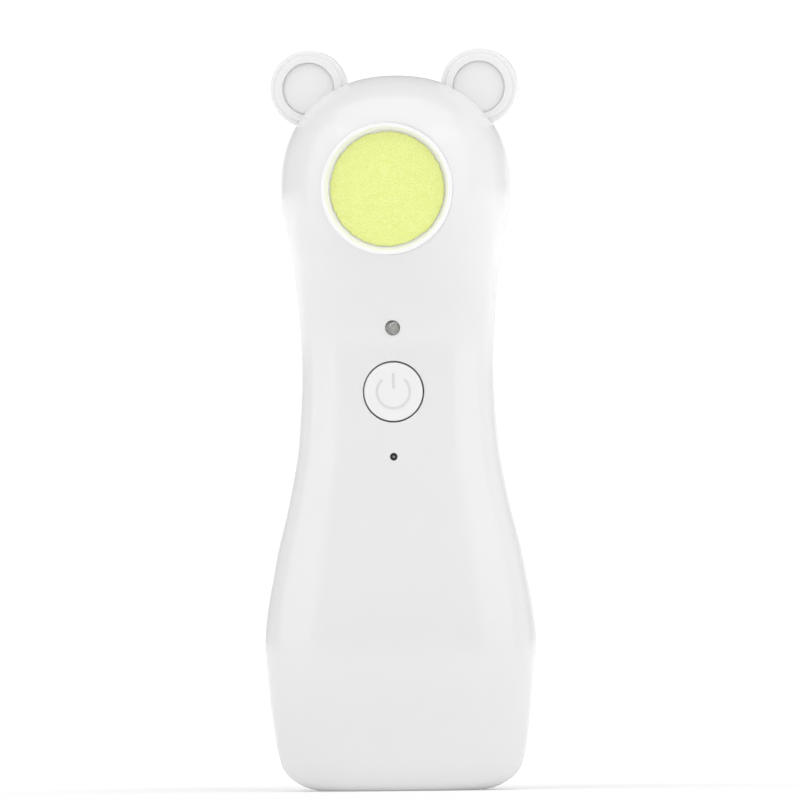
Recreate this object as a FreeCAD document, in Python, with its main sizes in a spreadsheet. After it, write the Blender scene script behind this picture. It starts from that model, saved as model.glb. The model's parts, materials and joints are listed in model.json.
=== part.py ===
import FreeCAD, Part
import math
import os
import re
import Sketcher
from FreeCAD import Placement, Rotation, Vector

# Electric nail grinder with a bear-eared housing. Millimetres. +Z is up, the front faces -Y and +X is
# on the right seen from the front. The origin is the middle of the base. Depths are measured from the
# seam plane between the two housing halves: negative numbers lie in front of it, positive ones behind.

doc = FreeCAD.newDocument("nail_grinder")
sheet = doc.addObject("Spreadsheet::Sheet", "Dims")

# Housing sections from the base up: height, half width, depth in front of and behind the seam plane.
# None leaves that curve to its neighbours.
STATIONS = {
    "base": (0.0, 23.2, 10.5, 12.5),
    "heel": (10.0, 25.9, None, None),
    "belly": (29.6, 27.9, 13.0, 15.0),
    "palm": (47.0, 25.45, None, None),
    "taper": (59.0, 22.6, 10.6, 13.4),
    "grip": (71.5, 20.45, None, None),
    "waist": (86.0, 19.65, None, None),
    "neck": (91.0, None, 9.0, 12.0),
    "throat": (106.0, 20.95, None, None),
    "cheek": (114.0, 22.4, None, None),
    "head": (123.3, 23.6, 20.5, 15.5),
}

DIMENSIONS = {
    # housing
    "wall": 2.0,
    "seam_shift": 1.85,          # the seam plane lies this far behind the origin
    "corner_side": 7.5,          # base corner, across the width
    "corner_depth": 3.5,         # base corner, front to back
    "corner_height": 5.5,
    "crown_rise": 23.4,          # top of the head above its widest section
    "fit_gap": 0.05,
    "overcut": 1.0,              # how far a cut runs past the faces that it opens
    "beyond": 30.0,              # a depth outside every section
    # ears
    "ear_radius": 7.9,
    "ear_side": 17.55,
    "ear_height": 144.1,
    "ear_front": 2.2,
    "ear_back": 3.0,
    "ear_step": 0.5,             # height of the raised ring and depth of the recess
    "ear_ring_radius": 6.8,
    "ear_bore": 5.4,
    "inlay_thick": 0.8,
    "tab_length": 8.2,
    "tab_width": 5.0,
    "tab_thick": 2.0,
    # bezel cup around the grinding disc
    "rim_front": 19.2,
    "rim_round": 0.35,
    "cup_radius": 13.5,
    "cup_bore": 11.95,          # at the ledge, opening out to the rim
    "rim_bore": 12.75,
    "ledge_front": 17.05,        # a ledge just behind the disc's edge hides the gap round the pad
    "ledge_bore": 11.55,
    "floor_front": 13.8,
    "flange_radius": 14.6,
    "flange_front": 13.0,
    "seat_front": 11.8,          # the cup's back face rests on the gearbox cover here
    "hub_hole": 2.8,
    "collar_radius": 15.4,
    "collar_bore": 13.55,
    "collar_cut": 8.0,
    "opening_cut": 5.0,          # the lamp, button and indicator holes end in front of this
    "seal_radius": 6.0,
    "seal_bore": 4.0,
    "seal_thick": 0.4,
    # grinding head, from the front
    "disc_front": 17.4,
    "pad_front": 17.15,
    "table_front": 15.7,
    "table_back": 14.3,
    "disc_radius": 11.8,
    "pad_radius": 11.3,
    "table_radius": 11.3,
    "hub_radius": 2.4,
    "hub_back": 12.2,
    "shaft_radius": 1.0,
    "shaft_front": 15.2,
    "shaft_back": 2.6,
    "running_gap": 0.03,
    # gearbox
    "gear_module": 0.5,
    "gear_teeth": 36,
    "pinion_teeth": 12,
    "tooth_addendum": 0.4,
    "tooth_dedendum": 0.6,
    "backlash": 0.1,
    "gear_front": 9.6,
    "gear_back": 6.8,
    "cover_back": 10.6,
    "box_radius": 11.6,
    "box_bore": 10.2,
    "lobe_radius": 5.0,
    "lobe_bore": 3.9,
    "box_floor": 4.4,
    "box_back": 2.9,
    "bush_radius": 2.2,
    "bush_stand": 0.5,           # how far each bush stands into the gearbox
    "motor_seat_wall": 0.6,
    "lug_side": 10.9,
    "lug_rise": 13.0,
    "lug_radius": 2.2,
    "lug_front": 8.5,
    "lug_back": 6.5,
    "strap_half": 1.4,
    "cover_screw_circle": 12.3,
    "screw_ear_radius": 1.9,
    "sunk_head": 1.4,            # countersunk cover screws
    "sunk_shank": 0.8,
    "sunk_tip": 7.0,
    "lug_screw_shank": 0.85,
    "lug_screw_head": 1.8,
    "lug_screw_rise": 1.2,
    "lug_screw_tip": 11.5,
    "screw_gap": 0.1,            # clearance round a screw in the piece it holds
    # motor
    "motor_radius": 6.0,
    "motor_flat": 5.0,           # half the distance across the flats
    "motor_length": 12.0,
    "can_wall": 0.5,
    "motor_boss": 2.0,
    "boss_rise": 1.0,
    "cap_thick": 1.1,
    "cap_skin": 0.5,
    "end_gap": 0.1,
    "motor_shaft": 0.5,
    "rotor_radius": 3.7,
    "slot_half": 0.8,
    "slot_floor": 2.0,
    "coil_circle": 2.8,
    "coil_stand": 0.4,
    "magnet_bore": 4.1,
    "magnet_front": 0.5,
    "magnet_back": 5.5,
    "magnet_trim": 0.3,
    "commutator_radius": 1.4,
    "commutator_front": 6.0,
    "commutator_back": 7.5,
    "brush_half": 0.5,
    "brush_front": 6.2,
    "brush_back": 7.2,
    "brush_inner": 1.45,
    "brush_outer": 3.0,
    "terminal_side": 3.0,
    "terminal_half": 1.0,
    "terminal_length": 1.5,
    "terminal_rise": 0.5,
    "pinion_front": 10.0,
    "pinion_back": 5.6,
    # controls on the front
    "lamp_height": 94.9,
    "lamp_radius": 1.5,
    "lamp_front": 10.2,
    "lamp_flange": 0.4,
    "lamp_flange_front": 5.2,
    "lamp_flange_back": 4.2,
    "leg_radius": 0.25,
    "leg_side": 1.27,
    "button_height": 81.8,
    "button_radius": 6.0,
    "button_gap": 0.3,
    "button_front": 9.5,
    "button_lip_radius": 7.2,
    "button_lip_front": 6.6,
    "button_lip_back": 5.9,
    "button_chamfer": 0.4,
    "button_wall": 1.1,
    "button_thick": 1.5,
    "dish_depth": 0.5,
    "dish_floor": 4.4,
    "dish_radius": 5.2,
    "stem_radius": 1.6,
    "mark_radius": 3.38,
    "mark_stroke": 0.45,
    "mark_thick": 0.1,
    "mark_bar_low": 0.6,
    "mark_bar_high": 3.85,
    "signal_height": 68.5,
    "signal_radius": 0.75,
    "signal_front": 9.95,
    "sleeve_lip_radius": 1.4,
    "sleeve_lip_front": 7.7,
    "sleeve_lip_back": 7.1,
    "sleeve_gap": 0.02,
    "pipe_radius": 0.25,
    "pipe_inset": 0.1,
    "pipe_back": 3.6,
    "indicator_half": 0.8,
    "indicator_rise": 0.5,
    "indicator_front": 3.4,
    # main circuit board
    "board_half": 10.8,
    "board_bottom": 58.0,
    "board_top": 101.0,
    "board_front": 2.4,
    "board_back": 1.2,
    "board_corner": 2.0,
    "post_side": 8.2,
    "post_low": 61.5,
    "post_high": 98.0,
    "post_radius": 2.0,
    "board_screw_shank": 0.7,
    "board_screw_head": 1.4,
    "board_screw_rise": 0.9,
    "board_screw_tip": 6.2,
    "switch_size": 6.0,
    "switch_front": 5.5,
    "switch_bore_depth": 1.1,
    "plunger_front": 6.1,
    "plunger_radius": 1.75,
    "plunger_length": 1.1,
    "plunger_gap": 0.1,
    # battery and charging
    "cell_half": 15.0,
    "cell_bottom": 15.5,
    "cell_top": 57.0,
    "cell_thick": 6.0,
    "cell_corner": 2.0,
    "foam_thick": 1.5,
    "foam_inset": 2.0,
    "foam_end": 4.0,
    "rib_thick": 1.5,
    "rib_start": 6.0,
    "rib_end": 10.0,             # how far the ribs stand from the ends of the cell
    "pad_start": 4.0,
    "charge_board_half": 8.0,
    "charge_board_back": 6.63,
    "charge_board_bottom": 2.5,
    "charge_board_top": 11.0,
    "port_depth": 4.0,           # middle of the charging port behind the seam plane
    "port_width": 8.94,
    "port_thick": 3.26,
    "port_length": 7.3,
    "port_recess": 0.6,
    "port_wall": 0.3,
    "port_end_wall": 0.5,
    "port_gap": 0.18,
    "tongue_half": 3.35,
    "tongue_rise": 0.35,
    "tongue_recess": 0.8,
    # housing screws
    "low_screw_side": 18.5,
    "low_screw_height": 15.0,
    "high_screw_side": 14.0,
    "high_screw_height": 97.0,
    "low_screw_seat": 6.0,
    "high_screw_seat": 5.0,
    "screw_head": 2.1,
    "screw_rise": 1.5,
    "screw_shank": 1.1,
    "screw_tip": 5.2,
    "boss_wall": 1.5,
    "well_gap": 0.2,
    "well_wall": 0.9,
    "wire_radius": 0.5,
    "socket_depth": 0.3,         # where the leads enter the sockets on the main board
}

CURVES = {"half": 1, "front": 2, "back": 3}
row = 0


def add_dimension(name, number):
    """Put one driving dimension in the sheet, with its name as the alias."""
    global row
    row += 1
    sheet.set(f"A{row}", name)
    sheet.set(f"B{row}", str(number))
    sheet.setAlias(f"B{row}", name)


for station, numbers in STATIONS.items():
    add_dimension(f"{station}_height", numbers[0])
    for curve, column in CURVES.items():
        if numbers[column] is not None:
            add_dimension(f"{station}_{curve}", numbers[column])
for name, number in DIMENSIONS.items():
    add_dimension(name, number)
doc.recompute()

subparts = []


# ---------------------------------------------------------------- helpers

def bound(text):
    """The sheet expression for a formula in dimension names, such as "cup_bore - fit_gap"."""
    return re.sub(r"[a-z][a-z_]*", lambda word: "Dims." + word.group(), str(text))


def size(text):
    """The present value of such a formula."""
    return float(sheet.evalExpression(bound(text)))


def place(piece, across="0", depth="0", height="0", turn=Rotation()):
    """Put a piece at formulas for x, the depth from the seam plane, and z."""
    piece.Placement = Placement(Vector(0, 0, 0), turn)
    piece.setExpression("Placement.Base.x", bound(across))
    piece.setExpression("Placement.Base.y", bound(f"seam_shift + ({depth})"))
    piece.setExpression("Placement.Base.z", bound(height))
    return piece


def keep(piece, label):
    """Name a finished sub-part."""
    piece.Label = label
    subparts.append(piece)
    return piece


BACKWARD = Rotation(Vector(1, 0, 0), -90)      # turns a primitive's +Z towards the back


def rod(name, radius, front, back, across="0", height="0"):
    """A cylinder along Y between two depths."""
    piece = doc.addObject("Part::Cylinder", name)
    piece.setExpression("Radius", bound(radius))
    piece.setExpression("Height", bound(f"({back}) - ({front})"))
    return place(piece, across, front, height, BACKWARD)


def block(name, left, right, front, back, low, high):
    """A box between formulas for its six faces."""
    piece = doc.addObject("Part::Box", name)
    piece.setExpression("Length", bound(f"({right}) - ({left})"))
    piece.setExpression("Width", bound(f"({back}) - ({front})"))
    piece.setExpression("Height", bound(f"({high}) - ({low})"))
    return place(piece, left, front, low)


def joined(name, pieces):
    """Several touching primitives as one solid."""
    piece = doc.addObject("Part::MultiFuse", name)
    piece.Shapes = pieces
    piece.Refine = True
    return piece


def group(name, pieces):
    """Separate solids that share one node."""
    piece = doc.addObject("Part::Compound", name)
    piece.Links = pieces
    return piece


def drilled(name, base, tools):
    """A piece less one or more tools."""
    piece = doc.addObject("Part::Cut", name)
    piece.Base = base
    piece.Tool = tools[0] if len(tools) == 1 else joined(name + "_tools", tools)
    return piece


def origin_plane(body, role):
    """One of a body's own origin planes."""
    return next(item for item in body.Origin.OriginFeatures if item.Role == role)


def new_sketch(body, role, name, offset="0"):
    """A sketch on one of the body's planes, moved along that plane's normal."""
    sketch = body.newObject("Sketcher::SketchObject", name)
    sketch.AttachmentSupport = (origin_plane(body, role), [""])
    sketch.MapMode = "FlatFace"
    sketch.setExpression("AttachmentOffset.Base.z", bound(offset))
    return sketch


def hold(sketch, kind, index, point, text, number):
    """Bind one coordinate of a sketch point to a formula."""
    constraint = sketch.addConstraint(Sketcher.Constraint(kind, -1, 1, index, point, number))
    sketch.setExpression(f"Constraints[{constraint}]", bound(text))


def draw_outline(sketch, corners):
    """A closed outline of straight lines through (across, up) formulas."""
    places = [(size(across), size(up)) for across, up in corners]
    count = len(places)
    for i in range(count):
        start = Vector(*places[i], 0)
        end = Vector(*places[(i + 1) % count], 0)
        sketch.addGeometry(Part.LineSegment(start, end))
    for i in range(count):
        sketch.addConstraint(Sketcher.Constraint("Coincident", i, 2, (i + 1) % count, 1))
    for i, (across, up) in enumerate(corners):
        hold(sketch, "DistanceX", i, 1, across, places[i][0])
        hold(sketch, "DistanceY", i, 1, up, places[i][1])


def draw_circle(sketch, across, up, radius):
    """A circle at (across, up) formulas."""
    centre = Vector(size(across), size(up), 0)
    index = sketch.addGeometry(Part.Circle(centre, Vector(0, 0, 1), size(radius)))
    hold(sketch, "DistanceX", index, 3, across, centre.x)
    hold(sketch, "DistanceY", index, 3, up, centre.y)
    constraint = sketch.addConstraint(Sketcher.Constraint("Radius", index, size(radius)))
    sketch.setExpression(f"Constraints[{constraint}]", bound(radius))


def turned(label, outline, across="0", height="head_height"):
    """A body turned about an axis along Y; the outline's points are (radius, depth)."""
    body = doc.addObject("PartDesign::Body", label)
    sketch = new_sketch(body, "XY_Plane", label + "_profile")
    draw_outline(sketch, outline)
    turn = body.newObject("PartDesign::Revolution", label + "_turn")
    turn.Profile = sketch
    turn.ReferenceAxis = (sketch, ["V_Axis"])
    turn.Angle = 360
    doc.recompute()
    return place(body, across, "0", height)


def plate(label, corners, front, back, across="0", height="0"):
    """A body padded towards the front from an outline in (x, z)."""
    body = doc.addObject("PartDesign::Body", label)
    sketch = new_sketch(body, "XZ_Plane", label + "_outline", f"-({back})")
    draw_outline(sketch, corners)
    pad = body.newObject("PartDesign::Pad", label + "_pad")
    pad.Profile = sketch
    pad.setExpression("Length", bound(f"({back}) - ({front})"))
    doc.recompute()
    return place(body, across, "0", height)


def corners_of(left, right, low, high):
    """The four corners of an upright rectangle."""
    return [(left, low), (right, low), (right, high), (left, high)]


def through_holes(body, role, name, holes):
    """Drill (across, up, radius) holes right through a body."""
    sketch = new_sketch(body, role, name + "_centres")
    for across, up, radius in holes:
        draw_circle(sketch, across, up, radius)
    pocket = body.newObject("PartDesign::Pocket", name)
    pocket.Profile = sketch
    pocket.Type = "ThroughAll"
    pocket.Midplane = True
    doc.recompute()


def round_edges(body, radius, chosen, kind="PartDesign::Fillet", amount="Radius"):
    """Round or chamfer the edges of a body's tip that a test picks out."""
    tip = body.Tip
    names = [f"Edge{i + 1}" for i, edge in enumerate(tip.Shape.Edges) if chosen(edge)]
    feature = body.newObject(kind, body.Name + "_edges")
    feature.Base = (tip, names)
    feature.setExpression(amount, bound(radius))
    doc.recompute()


def is_circle(edge, radius, depth):
    """True for a ring edge of this radius at this depth in a turned body."""
    curve = edge.Curve
    if not isinstance(curve, Part.Circle):
        return False
    return abs(curve.Radius - size(radius)) < 1e-4 and abs(curve.Center.y - size(depth)) < 1e-4


def runs_along_depth(edge):
    """True for an edge parallel to the Y axis."""
    ends = edge.Vertexes[-1].Point - edge.Vertexes[0].Point
    return ends.Length > 1e-6 and abs(abs(ends.y) - ends.Length) < 1e-6


def computed(label, shape):
    """A sub-part whose shape is worked out from the sheet, in the seam plane's frame."""
    piece = doc.addObject("Part::Feature", label)
    piece.Shape = shape
    return keep(place(piece), label)


SIDES = {"left": "-1", "right": "1"}


# ---------------------------------------------------------------- housing surface

def smooth(curve, height):
    """A monotone cubic through one curve's stations, flat where it reverses and at the head."""
    names = [name for name, row in STATIONS.items() if row[CURVES[curve]] is not None]
    heights = [size(name + "_height") for name in names]
    values = [size(f"{name}_{curve}") for name in names]
    steps = [high - low for low, high in zip(heights, heights[1:])]
    slopes = [(b - a) / step for a, b, step in zip(values, values[1:], steps)]
    tangents = [slopes[0]]
    for i in range(1, len(slopes)):
        before, after = slopes[i - 1], slopes[i]
        if before * after > 0:
            near = 2 * steps[i] + steps[i - 1]
            far = steps[i] + 2 * steps[i - 1]
            tangents.append((near + far) / (near / before + far / after))
        else:
            tangents.append(0.0)
    tangents.append(0.0)
    i = max(k for k in range(len(steps)) if height >= heights[k] - 1e-9)
    t = min((height - heights[i]) / steps[i], 1.0)
    level = values[i] * (1 - 3 * t * t + 2 * t ** 3) + values[i + 1] * (3 * t * t - 2 * t ** 3)
    bend = tangents[i] * (t - 2 * t * t + t ** 3) + tangents[i + 1] * (t ** 3 - t * t)
    return level + steps[i] * bend


RING_POINTS = 24
CORNER_LEVELS = 5
SIDE_LEVELS = 10
CROWN_LEVELS = 6
SQUARE_BASE = 2.5              # superellipse powers of the sections at the base and at the head
SQUARE_HEAD = 2.2


def power(value, exponent):
    """A signed power."""
    return math.copysign(abs(value) ** exponent, value)


def section(half, front, back, height, square, start):
    """One closed superellipse ring with its own depth in front of and behind the seam plane."""
    points = []
    for i in range(RING_POINTS):
        angle = start + 2 * math.pi * i / RING_POINTS
        depth = back if math.sin(angle) > 0 else front
        points.append(Vector(half * power(math.cos(angle), 2 / square),
                             depth * power(math.sin(angle), 2 / square), height))
    ring = Part.BSplineCurve()
    ring.interpolate(Points=points, PeriodicFlag=True)
    return Part.Wire(ring.toShape())


AT_THE_BACK = math.pi / 2
AT_THE_FRONT = -math.pi / 2


def skin(inset, start):
    """The housing's outer surface as a solid, or a surface inside it at the given inset.

    Each ring starts where the finished half has been cut away.
    """
    head = size("head_height")
    side = max(size("corner_side") - inset, 1.0)
    depth = max(size("corner_depth") - inset, 1.0)
    rise = max(size("corner_height") - inset, 1.0)
    levels = []
    for i in range(CORNER_LEVELS):
        angle = math.pi / 2 * i / CORNER_LEVELS
        levels.append((inset + rise * (1 - math.cos(angle)), 1 - math.sin(angle)))
    corner_top = inset + rise
    for i in range(SIDE_LEVELS + 1):
        levels.append((corner_top + (head - corner_top) * i / SIDE_LEVELS, 0.0))
    rings = []
    for height, pull in levels:
        half = smooth("half", height) - inset - side * pull
        front = smooth("front", height) - inset - depth * pull
        back = smooth("back", height) - inset - depth * pull
        square = SQUARE_BASE - (SQUARE_BASE - SQUARE_HEAD) * (height / head) ** 2
        rings.append(section(half, front, back, height, square, start))
    crown = size("crown_rise") - inset
    for i in range(1, CROWN_LEVELS):
        angle = math.pi / 2 * i / CROWN_LEVELS
        scale = power(math.cos(angle), 2 / SQUARE_HEAD)
        height = head + crown * power(math.sin(angle), 2 / SQUARE_HEAD)
        half = (size("head_half") - inset) * scale
        front = (size("head_front") - inset) * scale
        back = (size("head_back") - inset) * scale
        rings.append(section(half, front, back, height, SQUARE_HEAD, start))
    rings.append(Part.Vertex(0, 0, head + crown))
    return Part.makeLoft(rings, True, False)


# ---------------------------------------------------------------- plain shapes for the housing halves

def bar(radius, front, back, across="0", height="0"):
    """A cylinder shape along Y between two depths."""
    start = Vector(size(across), size(front), size(height))
    return Part.makeCylinder(size(radius), size(back) - size(front), start, Vector(0, 1, 0))


def brick(left, right, front, back, low, high):
    """A box shape between its six faces."""
    corner = Vector(size(left), size(front), size(low))
    return Part.makeBox(size(right) - size(left), size(back) - size(front), size(high) - size(low), corner)


def lozenge(width, thick, low, high, depth):
    """An upright bar with fully rounded ends in plan, as a charging port has."""
    end = size(thick) / 2
    reach = size(width) / 2 - end
    length = size(high) - size(low)
    shape = Part.makeBox(2 * reach, 2 * end, length, Vector(-reach, size(depth) - end, size(low)))
    for across in (-reach, reach):
        shape = shape.fuse(Part.makeCylinder(end, length, Vector(across, size(depth), size(low))))
    return shape.removeSplitter()


HOUSING_SCREWS = [(f"{sign} * {level}_screw_side", f"{level}_screw_height", f"{level}_screw_seat")
                  for level in ("low", "high") for sign in SIDES.values()]
BOARD_POSTS = [(f"{sign} * post_side", height)
               for height in ("post_low", "post_high") for sign in SIDES.values()]
LUGS = [(f"{sign} * lug_side", f"head_height + {rise} * lug_rise")
        for rise in ("-1", "1") for sign in SIDES.values()]
RIB_HEIGHTS = ("cell_bottom + rib_end", "cell_top - rib_end")


def ear_tab(sign):
    """The flat tab that reaches from an ear's middle towards the head's and holds it in the seam."""
    ear = Vector(size(f"{sign} * ear_side"), 0, size("ear_height"))
    inward = (Vector(0, 0, size("head_height")) - ear).normalize()
    sideways = Vector(inward.z, 0, -inward.x) * size("tab_width / 2")
    end = ear + inward * size("tab_length")
    outline = Part.makePolygon([ear + sideways, end + sideways, end - sideways, ear - sideways,
                                ear + sideways])
    return Part.Face(outline).extrude(Vector(0, size("tab_thick"), 0))


# Front half: bosses, posts, ribs and the collar behind the bezel cup stand in the hollow.
everything = 100
front_space = Part.makeBox(2 * everything, everything, 4 * everything,
                           Vector(-everything, -everything, -everything))
front_inside = [bar("screw_shank + boss_wall", "-beyond", "0", x, z) for x, z, seat in HOUSING_SCREWS]
front_inside += [bar("post_radius", "-beyond", "-board_front", x, z) for x, z in BOARD_POSTS]
front_inside += [bar("lug_radius", "-beyond", "-lug_front", x, z) for x, z in LUGS]
front_inside += [brick("foam_inset - cell_half", "cell_half - foam_inset", "-beyond", "0",
                       z, f"{z} + rib_thick") for z in RIB_HEIGHTS]
front_inside.append(bar("collar_radius", "-beyond", "-flange_front", "0", "head_height"))
front_holes = [bar("collar_bore", "-beyond", "-collar_cut", "0", "head_height"),
               bar("lamp_radius + fit_gap", "-beyond", "-opening_cut", "0", "lamp_height"),
               bar("button_radius + button_gap", "-beyond", "-opening_cut", "0", "button_height"),
               bar("signal_radius", "-beyond", "-opening_cut", "0", "signal_height")]
front_holes += [bar("screw_shank", "-screw_tip", "overcut", x, z) for x, z, seat in HOUSING_SCREWS]
front_holes += [bar("board_screw_shank", "-board_screw_tip", "0", x, z) for x, z in BOARD_POSTS]
front_holes += [bar("lug_screw_shank", "-lug_screw_tip", "0", x, z) for x, z in LUGS]
front_half = skin(0, AT_THE_BACK).common(front_space)
front_half = front_half.cut(skin(size("wall"), AT_THE_BACK).cut(front_inside))
computed("front_shell", front_half.cut(front_holes))

# Rear half: screw tubes, two pairs of ribs behind the battery and two pads behind the charging board.
rear_inside = [bar("screw_head + well_gap + well_wall", "0", "beyond", x, z)
               for x, z, seat in HOUSING_SCREWS]
for sign in SIDES.values():
    near, far = sorted((f"{sign} * rib_start", f"{sign} * (cell_half - foam_inset)"), key=size)
    rear_inside += [brick(near, far, "cell_thick + foam_thick", "beyond", z, f"{z} + rib_thick")
                    for z in RIB_HEIGHTS]
    near, far = sorted((f"{sign} * pad_start", f"{sign} * charge_board_half"), key=size)
    rear_inside.append(brick(near, far, "charge_board_back", "beyond", "0", "charge_board_top"))
rear_holes = [bar("screw_head + well_gap", seat, "beyond", x, z) for x, z, seat in HOUSING_SCREWS]
rear_holes += [bar("screw_shank + well_gap", "-overcut", f"{seat} + overcut", x, z)
               for x, z, seat in HOUSING_SCREWS]
rear_holes += [ear_tab(sign) for sign in SIDES.values()]
rear_holes.append(lozenge("port_width + 2 * port_gap", "port_thick + 2 * port_gap",
                          "-overcut", "wall + overcut", "port_depth"))
whole = skin(0, AT_THE_FRONT)
rear_half = whole.cut(front_space)
rear_half = rear_half.cut(skin(size("wall"), AT_THE_FRONT).cut(rear_inside))
computed("rear_shell", rear_half.cut(rear_holes))


# ---------------------------------------------------------------- ears

head_surface = doc.addObject("Part::Feature", "head_surface")
head_surface.Shape = whole
place(head_surface)

for side, sign in SIDES.items():
    centre = f"{sign} * ear_side"
    dish = "ear_step - ear_front"
    puck = turned(side + "_ear_puck", [
        ("0", f"{dish} + inlay_thick"), ("ear_bore", f"{dish} + inlay_thick"),
        ("ear_bore", "-ear_front - ear_step"), ("ear_ring_radius", "-ear_front - ear_step"),
        ("ear_ring_radius", "-ear_front"), ("ear_radius", "-ear_front"),
        ("ear_radius", "ear_back"), ("0", "ear_back")], centre, "ear_height")
    round_edges(puck, "ear_step", lambda edge: is_circle(edge, "ear_radius", "ear_back"))
    trimmed = drilled(side + "_ear_trimmed", puck, [head_surface])
    tab = doc.addObject("Part::Feature", side + "_ear_tab")
    tab.Shape = ear_tab(sign)
    place(tab)
    keep(joined(side + "_ear", [trimmed, tab]), side + "_ear")
    disc = turned(side + "_ear_disc", [
        ("0", dish), ("ear_bore", dish),
        ("ear_bore", f"{dish} + inlay_thick"), ("0", f"{dish} + inlay_thick")], centre, "ear_height")
    keep(drilled(side + "_ear_inlay", disc, [head_surface]), side + "_ear_inlay")


# ---------------------------------------------------------------- bezel cup and grinding head

bezel = turned("bezel_cup", [
    ("hub_hole", "-floor_front"), ("ledge_bore", "-floor_front"), ("ledge_bore", "-ledge_front"),
    ("cup_bore", "-ledge_front"), ("rim_bore", "-rim_front"), ("cup_radius", "-rim_front"),
    ("cup_radius", "-flange_front"), ("flange_radius", "-flange_front"),
    ("flange_radius", "-seat_front"), ("hub_hole", "-seat_front")])
round_edges(bezel, "rim_round", lambda edge: is_circle(edge, "rim_bore", "-rim_front")
            or is_circle(edge, "cup_radius", "-rim_front"))
keep(bezel, "bezel_cup")


def washer(label, outer_radius, inner_radius, front, back, height="head_height"):
    """A turned ring, or a disc when the inner radius is "0"."""
    ring = turned(label, [(inner_radius, front), (outer_radius, front),
                          (outer_radius, back), (inner_radius, back)], "0", height)
    return keep(ring, label)


washer("dust_seal", "seal_radius", "seal_bore", "-floor_front - seal_thick", "-floor_front")
washer("abrasive_disc", "disc_radius", "0", "-disc_front", "-pad_front")
washer("backing_pad", "pad_radius", "0", "-pad_front", "-table_front")
keep(turned("turntable", [
    ("0", "-table_front"), ("table_radius", "-table_front"), ("table_radius", "-table_back"),
    ("hub_radius", "-table_back"), ("hub_radius", "-hub_back"), ("shaft_radius", "-hub_back"),
    ("shaft_radius", "-shaft_front"), ("0", "-shaft_front")]), "turntable")
keep(rod("spindle_shaft", "shaft_radius", "-shaft_front", "-shaft_back", "0", "head_height"),
     "spindle_shaft")
washer("front_bush", "bush_radius", "shaft_radius + running_gap", "-seat_front", "-cover_back + bush_stand")
washer("rear_bush", "bush_radius", "shaft_radius + running_gap", "-box_floor - bush_stand", "-box_back")


# ---------------------------------------------------------------- gears

PRESSURE_ANGLE = math.radians(20)
FLANK_POINTS = 3
ROOT_NARROWING = 0.9


def involute(angle):
    """The involute function of a pressure angle."""
    return math.tan(angle) - angle


def gear(teeth, bore, front, back, height, phase):
    """A spur gear as an outline of short straight flanks; the phase turns it, in degrees."""
    count = int(size(teeth))
    pitch = size(f"gear_module * {teeth} / 2")
    tip = pitch + size("tooth_addendum")
    root = pitch - size("tooth_dedendum")
    base = pitch * math.cos(PRESSURE_ANGLE)
    pitch_half = math.pi / (2 * count) - size("backlash") / (2 * pitch)
    lowest = max(base, root)
    flank = []
    for i in range(FLANK_POINTS):
        radius = lowest + (tip - lowest) * i / (FLANK_POINTS - 1)
        local = math.acos(min(base / radius, 1.0))
        flank.append((radius, pitch_half + involute(PRESSURE_ANGLE) - involute(local)))
    if root < base:
        flank.insert(0, (root, flank[0][1] * base / root * ROOT_NARROWING))
    points = []
    for tooth in range(count):
        middle = math.radians(phase) + 2 * math.pi * tooth / count
        angles = [(radius, middle - half) for radius, half in flank]
        angles += [(radius, middle + half) for radius, half in reversed(flank)]
        points += [Vector(radius * math.cos(angle), 0, radius * math.sin(angle))
                   for radius, angle in angles]
    face = Part.Face(Part.makePolygon(points + points[:1]))
    blank = face.extrude(Vector(0, size(back) - size(front), 0))
    blank.translate(Vector(0, size(front), size(height)))
    return blank.cut(bar(bore, f"{front} - overcut", f"{back} + overcut", "0", height))


MOTOR_HEIGHT = "head_height - gear_module * (gear_teeth + pinion_teeth) / 2"
TOOTH_DOWN = -90
GAP_UP = 90 + 180 / size("pinion_teeth")
computed("spindle_gear",
         gear("gear_teeth", "shaft_radius", "-gear_front", "-gear_back", "head_height", TOOTH_DOWN))
computed("motor_pinion",
         gear("pinion_teeth", "motor_shaft", "-pinion_front", "-pinion_back", MOTOR_HEIGHT, GAP_UP))


# ---------------------------------------------------------------- screws

RECESS_ARM = 0.55              # half length and half width of a cross slot, as shares of the head's radius
RECESS_SLOT = 0.14
RECESS_FLOOR = 0.45            # where the slot ends, as a share of the head's height


def screw(name, across, height, seat, tip, shank, head, rise):
    """A pan-head screw driven from the back, with a cross recess."""
    body = joined(name + "_blank", [
        rod(name + "_shank", shank, tip, seat, across, height),
        rod(name + "_head", head, seat, f"{seat} + {rise}", across, height)])
    arm, slot = f"{RECESS_ARM} * ({head})", f"{RECESS_SLOT} * ({head})"
    bottom, top = f"{seat} + {RECESS_FLOOR} * {rise}", f"{seat} + {rise} + overcut"
    level = block(name + "_level", f"{across} - {arm}", f"{across} + {arm}", bottom, top,
                  f"{height} - {slot}", f"{height} + {slot}")
    upright = block(name + "_upright", f"{across} - {slot}", f"{across} + {slot}", bottom, top,
                    f"{height} - {arm}", f"{height} + {arm}")
    return drilled(name, body, [level, upright])


keep(group("housing_screws", [
    screw(f"housing_screw_{i}", x, z, seat, "-screw_tip", "screw_shank", "screw_head", "screw_rise")
    for i, (x, z, seat) in enumerate(HOUSING_SCREWS)]), "housing_screws")
keep(group("board_screws", [
    screw(f"board_screw_{i}", x, z, "-board_back", "-board_screw_tip",
          "board_screw_shank", "board_screw_head", "board_screw_rise")
    for i, (x, z) in enumerate(BOARD_POSTS)]), "board_screws")
keep(group("gearbox_screws", [
    screw(f"gearbox_screw_{i}", x, z, "-lug_back", "-lug_screw_tip",
          "lug_screw_shank", "lug_screw_head", "lug_screw_rise")
    for i, (x, z) in enumerate(LUGS)]), "gearbox_screws")


# ---------------------------------------------------------------- gearbox

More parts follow.
